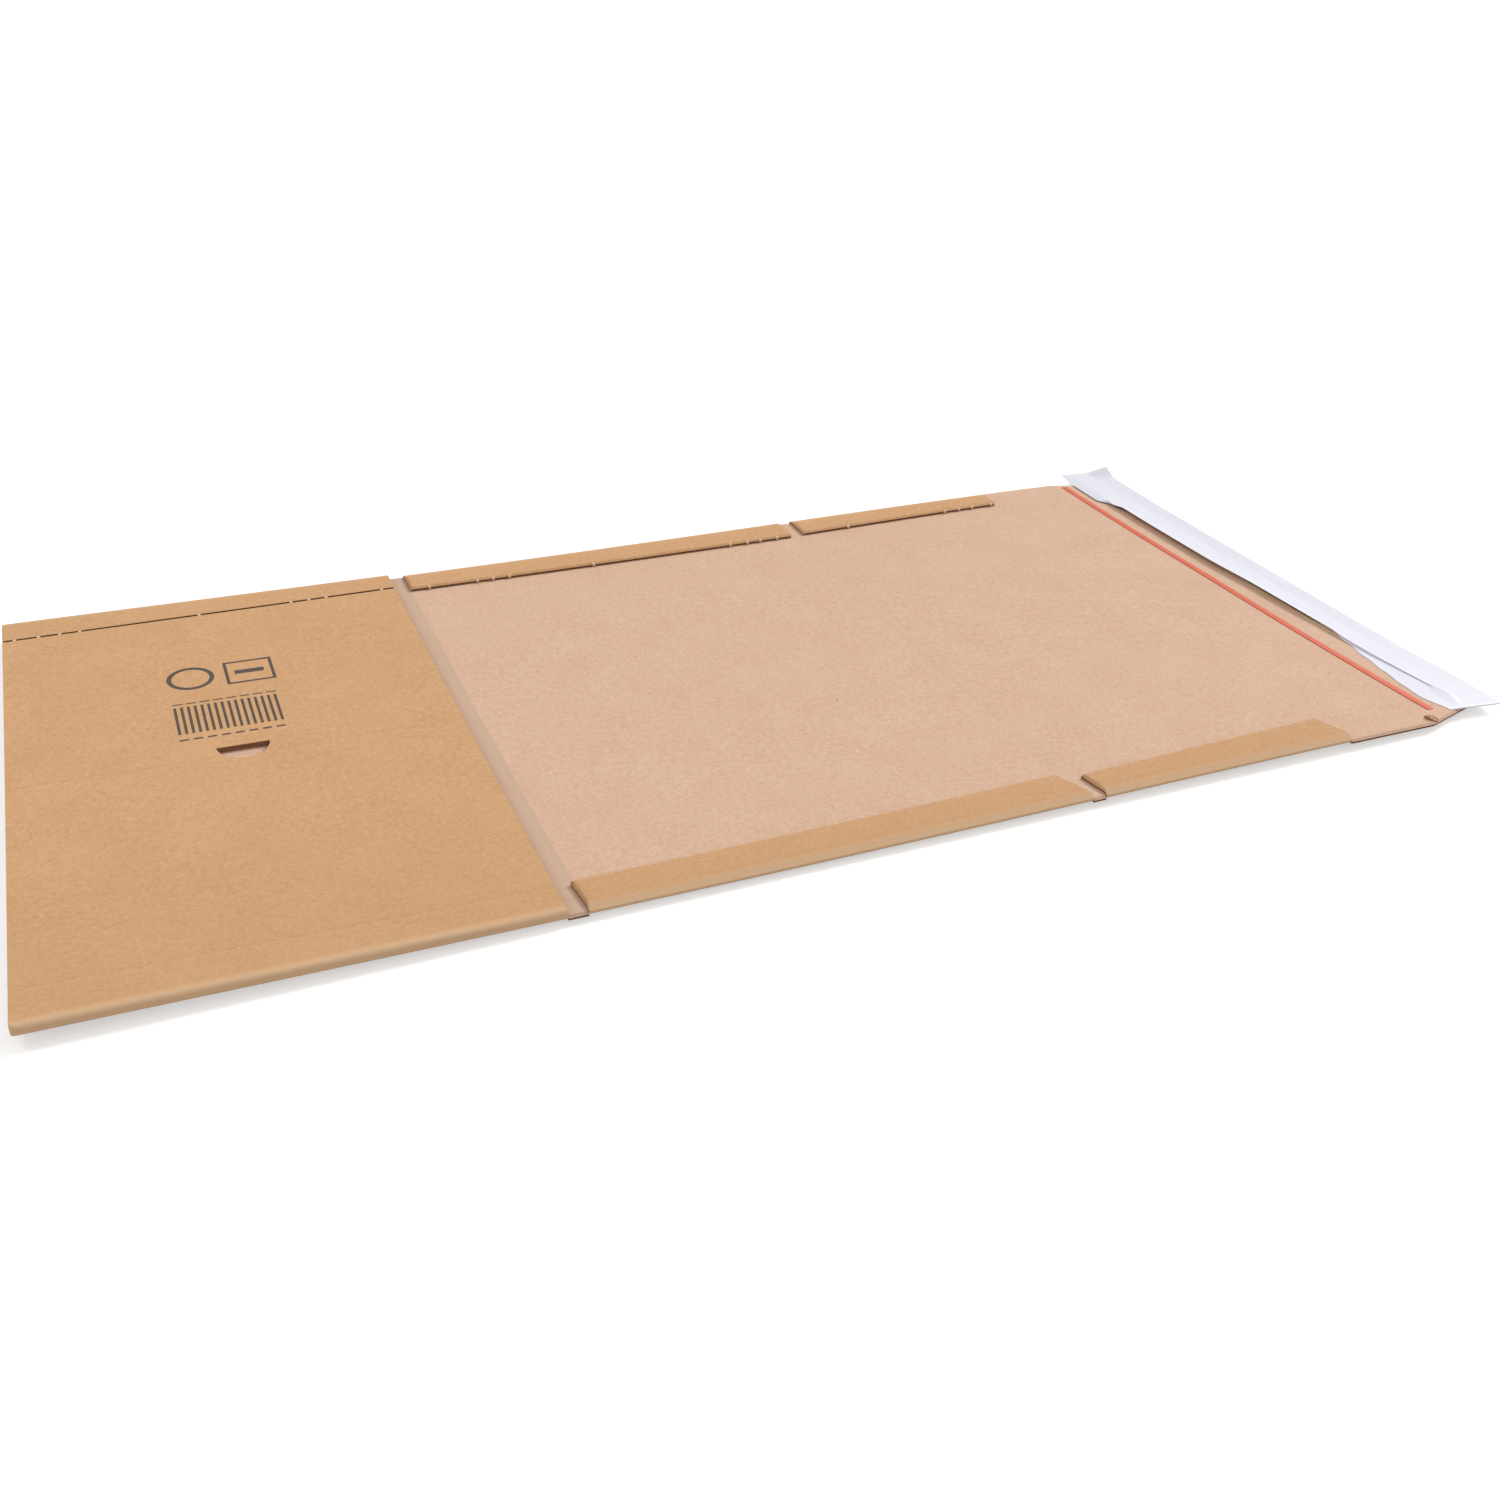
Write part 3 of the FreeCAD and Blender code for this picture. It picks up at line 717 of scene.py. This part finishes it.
def flat_stretch(left, right, rows, front, back, columns):
    """Top and bottom of a single layer between two lines in x.

    left and right give x for each row. front and back move the rows in where the outline is
    chamfered: y = front + row share * (back - front).
    """
    share = (columns - columns[0]) / (columns[-1] - columns[0])
    x = lerp(left[None, :], right[None, :], share[:, None])
    span = rows[-1] - rows[0]
    y = lerp(front(x), back(x), (rows - rows[0])[None, :] / span)
    sunk = crushed(y - front(x), SHEET_CRUSH) + crushed(back(x) - y, SHEET_CRUSH)
    top = np.stack([x, y, BOARD - crease_dip(x) - sunk], axis=-1)
    bottom = np.stack([x, y, np.zeros_like(x)], axis=-1)
    return top, bottom


def stretch_parts(top, bottom, edge_rows, closed_right):
    """Both faces of a single-layer stretch and the cut edges that show at its notches or ends.

    edge_rows is the number of rows outside the creases at the front and at the back.
    """
    surfaces = [grid(top, (0, 0, 1), INNER), grid(bottom, (0, 0, -1), OUTER)]
    surfaces += cut_wall(top[:, 0], bottom[:, 0], (0, 1, 0), EDGE_DEPTH)
    surfaces += cut_wall(top[:, -1], bottom[:, -1], (0, -1, 0), EDGE_DEPTH)
    for rows in (slice(0, edge_rows + 1), slice(-edge_rows - 1, None)):
        surfaces += cut_wall(top[0, rows], bottom[0, rows], (1, 0, 0), SIDE_DEPTH)
        if not closed_right:
            surfaces += cut_wall(top[-1, rows], bottom[-1, rows], (-1, 0, 0), SIDE_DEPTH)
    if closed_right:
        surfaces += cut_wall(top[-1], bottom[-1], (-1, 0, 0), SIDE_DEPTH)
    return surfaces


# Distances of the crushed rows from the cut edge of a notch and of the flap
NOTCH_ROWS = np.array([0, 0.5, 1.1])
FLAP_ROWS = np.array([0, 0.5, 1.0, 1.5, 2.4])
NOTCH_SPACING = 1.1


def notch_parts(before, after):
    """The single layer between two panels, cut off in line with their folds."""
    rows = np.concatenate([FRONT_FOLD + NOTCH_ROWS, ROWS, BACK_FOLD - NOTCH_ROWS[::-1]])
    share = np.clip((rows - FRONT_CREASE) / (BACK_CREASE - FRONT_CREASE), 0, 1)
    left = lerp(before.front_end, before.end, share)
    right = np.full_like(left, after.start)
    columns = stations(before.end, after.start, NOTCH_SPACING)
    top, bottom = flat_stretch(left, right, rows, lambda x: np.full_like(x, FRONT_FOLD),
                               lambda x: np.full_like(x, BACK_FOLD), columns)
    surfaces = stretch_parts(top, bottom, len(NOTCH_ROWS), False)
    for inward, row in (((0, 1, 0), 0), ((0, -1, 0), -1)):
        surfaces += medium_wave(top[0, row], top[-1, row], 0, inward, EDGE_DEPTH, SHEET_CRUSH)
    return surfaces


# The flap's front edge stands back from the sheet's, and its back edge stands past it
FLAP_BACKSET = 1.2
FLAP_PAST = 0.8


def flap_front(x):
    """y of the flap's front edge: straight, then the chamfer."""
    return np.maximum(0, (x - FRONT_CHAMFER) * CHAMFER_SLOPE) + FLAP_BACKSET


def flap_back(x):
    """y of the flap's back edge: straight, then the chamfer."""
    return FLAP_BACK + FLAP_PAST - np.maximum(0, (x - BACK_CHAMFER) * CHAMFER_SLOPE)


def flap_parts():
    """The closing flap: one layer, a little proud of the folds, with chamfered corners.

    Its first column is drawn in to the folds of the cover beside it.
    """
    rows = np.concatenate([FLAP_ROWS, ROWS, FLAP_BACK - FLAP_ROWS[::-1]])
    share = np.clip((rows - FRONT_CREASE) / (BACK_CREASE - FRONT_CREASE), 0, 1)
    left = lerp(COVER.front_end, COVER.end, share)
    right = np.full_like(left, FLAP_END)
    columns = stations(COVER_END, FLAP_END, ACROSS, [FRONT_CHAMFER, BACK_CHAMFER + 3])
    top, bottom = flat_stretch(left, right, rows, flap_front, flap_back, columns)
    drawn_in = 0.6 * FLAP_ROWS
    beside_cover = np.concatenate([FRONT_FOLD + drawn_in, ROWS, BACK_FOLD - drawn_in[::-1]])
    for surface in (top, bottom):
        surface[0, :, 1] = beside_cover
    surfaces = stretch_parts(top, bottom, len(FLAP_ROWS), True)
    front_turn = (FRONT_CHAMFER, flap_front(FRONT_CHAMFER), 0)
    back_turn = (BACK_CHAMFER, flap_back(BACK_CHAMFER), 0)
    for left, right, inward in ((top[0, 0], front_turn, 1), (front_turn, top[-1, 0], 1),
                                (top[0, -1], back_turn, -1), (back_turn, top[-1, -1], -1)):
        surfaces += medium_wave(left, right, 0, (0, inward, 0), EDGE_DEPTH, SHEET_CRUSH)
    return surfaces


# Uncut nicks along the tear line of each back strip: how far they reach out and their places
# as shares of its length. They root in the strip, from above its lower paper to under its top
NICK_WIDTH = 1.6
NICK_ROOT = 0.8
NICK_FOOT = 0.4
NICK_SUNK = 0.2
NICKS = [
    (WING, 1.4, (0.028, 0.085, 0.136, 0.184, 0.480, 0.719, 0.767, 0.813, 0.965)),
    (BOOK, 0.6, (0.045, 0.163, 0.202, 0.243, 0.459, 0.828, 0.876, 0.912, 0.960)),
    (COVER, 0.6, (0.225, 0.729, 0.805, 0.876, 0.980)),
]


def nick_parts():
    """Stubs of board on the free edges: still whole beside the wing, torn off elsewhere."""
    surfaces = []
    for panel, reach, shares in NICKS:
        for share in shares:
            x = lerp(panel.start, panel.end, share)
            y = lerp(panel.back_line[0], panel.back_line[1], share)
            low = (x - NICK_WIDTH / 2, y - reach, panel.height - BOARD + NICK_FOOT)
            high = (x + NICK_WIDTH / 2, y + NICK_ROOT, panel.height - NICK_SUNK)
            surfaces += block(low, high, TORN)
    return surfaces


# Fibres torn loose along the wing's front score, and specks of bark and bleached fibre. The
# corners of a fibre are given in two rows about its place
FIBRES = (5, 19, 39, 48, 56, 63, 69, 92, 128, 171)
FIBRE_CORNERS = (((-1.1, -0.5), (0.9, 0.2)), ((-1.0, -0.1), (1.1, 0.6)))
FIBRE_LIFT = 0.02
DARK_SPECKS = [(321.5, 208.8), (498.8, 232.5), (405.0, 128.8)]
PALE_SPECKS = [(467.5, 129.0), (332.5, 81.0), (325.5, 70.0), (245.0, 29.5), (240.3, 282.7)]
SPECK_HALF = 0.4
SPECK_FOOT = 0.05
SPECK_LIFT = 0.04


def loose_parts():
    """Slivers that lie on the paper: slanted quads on the score, small squares for specks."""
    surfaces = []
    for x in FIBRES:
        y = lerp(WING_SCORES[0][0], WING_SCORES[0][1], x / WING_END)
        z = WING.height + FIBRE_LIFT
        sliver = [[(x + shift, y + slip, z) for shift, slip in row] for row in FIBRE_CORNERS]
        surfaces.append(grid(sliver, (0, 0, 1), TORN))
    for places, material in ((DARK_SPECKS, HOLLOW), (PALE_SPECKS, TORN)):
        for x, y in places:
            low = (x - SPECK_HALF, y - SPECK_HALF, BOARD - SPECK_FOOT)
            high = (x + SPECK_HALF, y + SPECK_HALF, BOARD + SPECK_LIFT)
            surfaces += block(low, high, material)
    return surfaces


# Round tab pressed half through the flap
TAB_PLACE = (684.8, 5.6)
TAB_RADIUS = 3.4
TAB_CLEAR = 0.03
TAB_LIFT = 1.5
TAB_FACING = math.radians(190)


def tab_parts():
    """The tab's top, in the cut edge's darker colour as painted shade on the pressed tab, and the dark wall
    under its lifted side.

    The height grows with the square of the share of the way towards its slit.
    """
    radius = np.linspace(0, TAB_RADIUS, 7)[:, None]
    angle = np.linspace(0, 2 * math.pi, 49)[None, :]
    x = TAB_PLACE[0] + radius * np.cos(angle)
    y = TAB_PLACE[1] + radius * np.sin(angle)
    towards = np.clip(radius / TAB_RADIUS * np.cos(angle - TAB_FACING), 0, 1)
    top = np.stack([x, y, BOARD + TAB_CLEAR + TAB_LIFT * towards**2], axis=-1)
    foot = top[-1].copy()
    foot[:, 2] = BOARD - SHEET_CRUSH
    # The tab's top takes the darker cut-edge colour: painted shade, not the paper's own
    return [grid(top, (0, 0, 1), EDGE), grid([foot, top[-1]], (-1, 0, 0), HOLLOW)]


def make_board(materials):
    surfaces = []
    for panel in PANELS:
        surfaces += panel_parts(panel)
    surfaces += notch_parts(WING, BOOK)
    surfaces += notch_parts(BOOK, COVER)
    surfaces += flap_parts()
    surfaces += nick_parts()
    surfaces += loose_parts()
    surfaces += tab_parts()
    return build("mailer_board", surfaces, materials, "corrugated_blank")


FILM_THICKNESS = 0.12


def add_thickness(piece, millimetres):
    """Solidify the piece outwards from its face."""
    solid = piece.modifiers.new("thickness", "SOLIDIFY")
    solid.thickness = millimetres / 1000
    solid.offset = 1
    return piece


# Ink on the wing. A rows value gives the lowest and highest y of its shape
INK_LIFT = 0.05
FIELD_LEFT = 79.0
STRIPES = 16
STRIPE_STEP = 3.3
STRIPE_WIDTH = 1.4
STRIPE_ROWS = (196.0, 223.0)
DASHES = 8
DASH_STEP = 6.6
NEAR_DASH = 4.4
NEAR_DASH_ROWS = (189.6, 191.0)
FAR_DASH = 5.0
FAR_DASH_ROWS = (225.6, 226.6)
RING_CENTRE = (90.5, 252.0)
RING_RADII = (9.6, 12.0)
FRAME_SIDES = (108.0, 133.0, 240.0, 264.0)
FRAME_LINE = 1.6
BAR_INSET = 5
BAR_ROWS = (250.0, 254.0)


def ink_field(rows):
    """A field of ink on the wing from rows of x and y."""
    rows = np.asarray(rows, float)
    height = np.full(rows.shape[:2] + (1,), WING.height + INK_LIFT)
    return grid(np.concatenate([rows, height], axis=-1), (0, 0, 1))


def ink_rectangle(left, right, low, high):
    return ink_field([[(left, low), (right, low)], [(left, high), (right, high)]])


def make_print(material):
    """An evenly striped field between two rows of dashes, a ring, and a frame with a bar in it."""
    surfaces = []
    for count in range(STRIPES):
        left = FIELD_LEFT + STRIPE_STEP * count
        surfaces.append(ink_rectangle(left, left + STRIPE_WIDTH, *STRIPE_ROWS))
    for count in range(DASHES):
        left = FIELD_LEFT + DASH_STEP * count
        surfaces.append(ink_rectangle(left, left + NEAR_DASH, *NEAR_DASH_ROWS))
        surfaces.append(ink_rectangle(left, left + FAR_DASH, *FAR_DASH_ROWS))
    angle = np.linspace(0, 2 * math.pi, 65)
    circle = np.stack([np.cos(angle), np.sin(angle)], axis=-1)
    surfaces.append(ink_field([RING_CENTRE + radius * circle for radius in RING_RADII]))
    left, right, low, high = FRAME_SIDES
    surfaces.append(ink_rectangle(left, right, low, low + FRAME_LINE))
    surfaces.append(ink_rectangle(left, right, high - FRAME_LINE, high))
    surfaces.append(ink_rectangle(left, left + FRAME_LINE, low + FRAME_LINE, high - FRAME_LINE))
    surfaces.append(ink_rectangle(right - FRAME_LINE, right, low + FRAME_LINE, high - FRAME_LINE))
    surfaces.append(ink_rectangle(left + BAR_INSET, right - BAR_INSET, *BAR_ROWS))
    return build("printed_marks", surfaces, [material], "corrugated_blank")


# Red strip, a little slanted to the sheet and laid in a shallow curve. Its rows lie closer at
# its ends, where the outline is rounded
STRIP_ROWS = np.concatenate([[0, 0.4, 1.2], np.arange(5, 327, 4.0), [330.8, 331.6, 332.0]])
STRIP_WIDTH = 4.6
STRIP_ROUNDING = 0.5
STRIP_CLEAR = 0.06
STRIP_NEAR = (692.0, 13.0)
STRIP_FAR = (693.0, 341.5)
STRIP_CURVE = 2.0


def make_tear_strip(material):
    """Flat tape with slightly rounded ends: a straight line plus half a sine wave in x."""
    from_end = np.stack([STRIP_ROWS, STRIP_ROWS[-1] - STRIP_ROWS])
    half = STRIP_WIDTH / 2 - STRIP_ROUNDING * np.exp(-from_end / STRIP_ROUNDING).sum(axis=0)
    share = STRIP_ROWS / STRIP_ROWS[-1]
    centre = lerp(STRIP_NEAR[0], STRIP_FAR[0], share) + STRIP_CURVE * np.sin(math.pi * share)
    y = lerp(STRIP_NEAR[1], STRIP_FAR[1], share)
    across = np.linspace(-1, 1, 5)
    x = centre[:, None] + half[:, None] * across[None, :]
    z = np.full(x.shape, BOARD + STRIP_CLEAR)
    points = np.stack([x, np.broadcast_to(y[:, None], x.shape), z], axis=-1)
    piece = build("tear_tape", [grid(points, (0, 0, 1))], [material], "tear_strip")
    return add_thickness(piece, FILM_THICKNESS)


# Adhesive line: its sides, how far it ends before the flap does, and the height of its crown
ADHESIVE_LEFT = 711.2
ADHESIVE_RIGHT = 725.2
ADHESIVE_INSET = 16
ADHESIVE_CLEAR = 0.02
ADHESIVE_CROWN = 0.1
ADHESIVE_THICKNESS = 0.03


def make_adhesive(material):
    """Bead of adhesive pressed flat under the liner: sides that waver by two sines, a low crown."""
    y = np.arange(ADHESIVE_INSET, FLAP_BACK - ADHESIVE_INSET, 3.0)
    waver = 0.35 * np.sin(y / 7.3) + 0.2 * np.sin(y / 2.9)
    across = np.linspace(0, 1, 7)
    x = lerp((ADHESIVE_LEFT + waver)[:, None], (ADHESIVE_RIGHT - waver)[:, None], across[None, :])
    crown = ADHESIVE_CROWN * np.sin(math.pi * across)
    z = BOARD + ADHESIVE_CLEAR + crown[None, :] + np.zeros_like(x)
    points = np.stack([x, np.broadcast_to(y[:, None], x.shape), z], axis=-1)
    piece = build("adhesive_line", [grid(points, (0, 0, 1))], [material], "adhesive_strip")
    return add_thickness(piece, ADHESIVE_THICKNESS)


# Cross-sections of the release liner from its tucked margin to its right edge. Each one is its
# distance along y and the x and height over the board of seven points: the margin's free
# edge, its middle, the turn under the crease, the crease, both edges of the adhesive and the
# right edge.
LINER_SECTIONS = [
    (0.0, (701.3, 0.1), (704.0, 0.1), (707.0, 0.2), (709.5, 0.2), (713.0, 0.3), (725.0, 0.3), (732.8, 0.3)),
    (17.0, (697.9, 0.1), (702.5, 0.2), (708.0, 0.3), (714.3, 1.2), (717.0, 0.5), (725.0, 0.5), (734.6, 0.6)),
    (30.0, (699.4, 0.1), (705.0, 0.1), (713.0, 0.4), (712.6, 1.0), (715.5, 0.7), (725.0, 0.5), (735.1, 0.8)),
    (48.0, (702.8, 0.1), (707.0, 0.1), (712.4, 0.4), (711.9, 1.1), (714.8, 0.8), (725.0, 0.6), (735.3, 0.9)),
    (64.0, (706.2, 0.1), (709.0, 0.1), (711.6, 0.4), (711.3, 1.2), (714.5, 0.9), (725.0, 0.7), (735.3, 1.0)),
    (85.0, (710.6, 0.1), (711.0, 0.3), (711.6, 0.8), (711.1, 1.6), (714.5, 1.0), (725.0, 0.7), (735.5, 1.0)),
    (99.0, (713.5, 0.4), (713.2, 0.9), (712.5, 1.7), (711.6, 2.3), (714.5, 1.2), (725.0, 0.7), (735.5, 1.0)),
    (150.0, (714.0, 1.2), (712.8, 2.2), (711.5, 2.6), (709.8, 3.0), (714.5, 1.6), (725.0, 0.7), (736.0, 1.0)),
    (205.0, (713.0, 1.4), (711.0, 2.4), (709.6, 2.6), (707.3, 3.0), (713.5, 1.8), (725.0, 0.7), (736.4, 1.0)),
    (284.0, (712.5, 1.4), (710.5, 2.4), (709.2, 2.6), (707.1, 3.0), (713.0, 1.8), (725.0, 0.7), (737.1, 1.1)),
    (297.0, (706.5, 0.8), (706.2, 1.2), (705.8, 1.6), (705.4, 2.0), (713.0, 1.4), (725.0, 0.7), (737.3, 1.2)),
    (306.0, (700.8, 0.6), (703.0, 0.9), (705.0, 1.2), (708.0, 1.4), (713.0, 1.2), (725.0, 0.7), (737.5, 1.3)),
    (334.0, (700.4, 0.6), (703.0, 0.8), (705.0, 1.0), (708.0, 1.2), (713.0, 1.2), (724.0, 0.8), (737.5, 1.3)),
    (350.0, (701.9, 1.0), (705.0, 1.0), (708.0, 1.1), (711.0, 1.2), (716.0, 1.1), (722.0, 1.3), (738.0, 5.5)),
]

# y of the liner's two ends at its left limit and one nominal width to the right of it
LINER_LEFT = 703.7
LINER_WIDTH = 30.0
LINER_NEAR = (8.4, 4.8)
LINER_FAR = (358.3, 355.8)
LINER_STEP = 2.5
LINER_COLUMNS = 49


def make_liner(material):
    """Paper ribbon through the cross-sections: straight between them across, smooth along y.

    Along y each point follows a monotone blend, 3s^2 - 2s^3, from one section to the next.
    """
    keys = np.array([section[0] for section in LINER_SECTIONS])
    shapes = np.array([section[1:] for section in LINER_SECTIONS])
    along = np.arange(0, keys[-1] + LINER_STEP / 2, LINER_STEP)
    place = np.clip(np.searchsorted(keys, along, side="right") - 1, 0, len(keys) - 2)
    share = (along - keys[place]) / (keys[place + 1] - keys[place])
    smooth = share**2 * (3 - 2 * share)
    knots = lerp(shapes[place], shapes[place + 1], smooth[:, None, None])
    steps = np.linspace(0, knots.shape[1] - 1, LINER_COLUMNS)
    left = np.clip(steps.astype(int), 0, knots.shape[1] - 2)
    profile = lerp(knots[:, left], knots[:, left + 1], (steps - left)[None, :, None])
    across = (profile[..., 0] - LINER_LEFT) / LINER_WIDTH
    near = lerp(LINER_NEAR[0], LINER_NEAR[1], across)
    far = lerp(LINER_FAR[0], LINER_FAR[1], across)
    y = lerp(near, far, (along / along[-1])[:, None])
    points = np.stack([profile[..., 0], y, BOARD + profile[..., 1]], axis=-1)
    piece = build("liner_tape", [grid(points, (0, 0, 1))], [material], "release_liner",
                  LINER_SHARP_ANGLE)
    return add_thickness(piece, FILM_THICKNESS)


# Half the table's side in metres, and the light it adds of its own for the camera
TABLE_HALF = 14.0
TABLE_GLOW = 0.5


def make_stage():
    """Pale table that looks white to the camera and still takes the object's shadow."""
    mesh = bpy.data.meshes.new("table")
    corners = [(side_x * TABLE_HALF, side_y * TABLE_HALF, 0)
               for side_x, side_y in ((-1, -1), (1, -1), (1, 1), (-1, 1))]
    mesh.from_pydata(corners, [], [(0, 1, 2, 3)])
    material = bpy.data.materials.new("painted_table")
    material.use_nodes = True
    tree = material.node_tree
    tree.nodes.clear()
    path = add_node(tree, "ShaderNodeLightPath")
    paint = add_node(tree, "ShaderNodeBsdfDiffuse", {"Color": linear("#E4E4E2")})
    glow = add_node(tree, "ShaderNodeEmission", {"Color": linear("#FFFFFF"), "Strength": TABLE_GLOW})
    lit = add_node(tree, "ShaderNodeAddShader", {0: paint.outputs[0], 1: glow.outputs[0]})
    seen = add_node(tree, "ShaderNodeMixShader", {0: path.outputs["Is Camera Ray"], 1: paint.outputs[0],
                                                  2: lit.outputs[0]})
    add_node(tree, "ShaderNodeOutputMaterial", {"Surface": seen.outputs[0]})
    mesh.materials.append(material)
    table = bpy.data.objects.new("table", mesh)
    bpy.context.scene.collection.objects.link(table)


# Strengths matched to the tones of the board and the liner, and the lamps' width in degrees
SKY_LIGHT = 0.49
LAMPS = [("right_lamp", (0.80, 0.30, 0.62), 1.90), ("left_lamp", (-0.55, 0.25, 0.80), 0.45)]
LAMP_WIDTH = 20


def make_light():
    """Soft white room: an even sky, white where it is seen directly, and a broad lamp on each side."""
    world = bpy.data.worlds.new("studio")
    bpy.context.scene.world = world
    world.use_nodes = True
    tree = world.node_tree
    tree.nodes.clear()
    path = add_node(tree, "ShaderNodeLightPath")
    seen = add_node(tree, "ShaderNodeMath", {0: path.outputs["Is Camera Ray"],
                                             1: path.outputs["Is Glossy Ray"]}, operation="MAXIMUM")
    seen = add_node(tree, "ShaderNodeMath", {0: seen.outputs[0], 1: path.outputs["Is Transmission Ray"]},
                    operation="MAXIMUM")
    strength = add_node(tree, "ShaderNodeMapRange", {"Value": seen.outputs[0], "To Min": SKY_LIGHT,
                                                     "To Max": 1.0})
    sky = add_node(tree, "ShaderNodeBackground", {"Color": linear("#FFFFFF"),
                                                  "Strength": strength.outputs[0]})
    add_node(tree, "ShaderNodeOutputWorld", {"Surface": sky.outputs[0]})

    for name, towards, strength in LAMPS:
        lamp = bpy.data.lights.new(name, "SUN")
        lamp.energy = strength
        lamp.angle = math.radians(LAMP_WIDTH)
        holder = bpy.data.objects.new(name, lamp)
        bpy.context.scene.collection.objects.link(holder)
        holder.rotation_euler = Vector(towards).to_track_quat("Z", "Y").to_euler()


# The spine creases are crushed to a greyish beige, and beside the wing the band also holds the wing's painted
# shadow; the folds' crowns are pale, and at the front this is painted highlight
SPINE_CRUSH_AND_SHADOW = "#CAAD96"
outer_kraft = kraft("kraft_liner_outside", "#D5A577", "#C89A6D", "#DDB086", 0.006, [
    # Pale line on the crown of the front crease: painted highlight
    ("Y", sheet_y(FRONT_CREASE + 1.2), 0.9, 0.8, "#E3BE98", 0.45),
    # Pale band over the front roll: painted light, lifting the shade on the roll's underside
    ("Y", sheet_y(FRONT_FOLD + 0.8), 1.8, 1.2, "#EBCBA8", 0.65),
    # Darker towards the front edge
    ("Y", sheet_y(-20), 90, 70, "#C79B70", 0.3),
    # Paler line along the back crease's crown
    ("Y", sheet_y(BACK_CREASE - 1.0), 0.8, 0.8, "#DDB68E", 0.35),
])
inner_kraft = kraft("kraft_liner_inside", "#DDB79C", "#D2AB8F", "#E4C1A8", 0.005, [
    # Beside the wing: crushed crease tone plus the wing's painted shadow, far stronger than the band at the
    # book
    ("X", sheet_x(WING_END + 4.8), 4.6, 1.2, SPINE_CRUSH_AND_SHADOW, 0.75),
    ("X", sheet_x(BOOK_END + 4.6), 4.4, 1.6, SPINE_CRUSH_AND_SHADOW, 0.12),
])
cut_edge = cut_paper("sheared_kraft_edge", "#C19871", "#9A7656")
flute_hollow = cut_paper("kraft_medium_in_shade", "#AE7A5F", "#92604C")
torn_paper = cut_paper("torn_kraft_fibre", "#EBD6C0", "#DDBF9F")

make_board([outer_kraft, inner_kraft, cut_edge, flute_hollow, torn_paper])
make_print(printing_ink())
make_tear_strip(tear_film())
make_adhesive(hot_melt())
make_liner(release_paper())
make_stage()
make_light()

bpy.context.scene.view_settings.view_transform = "Standard"
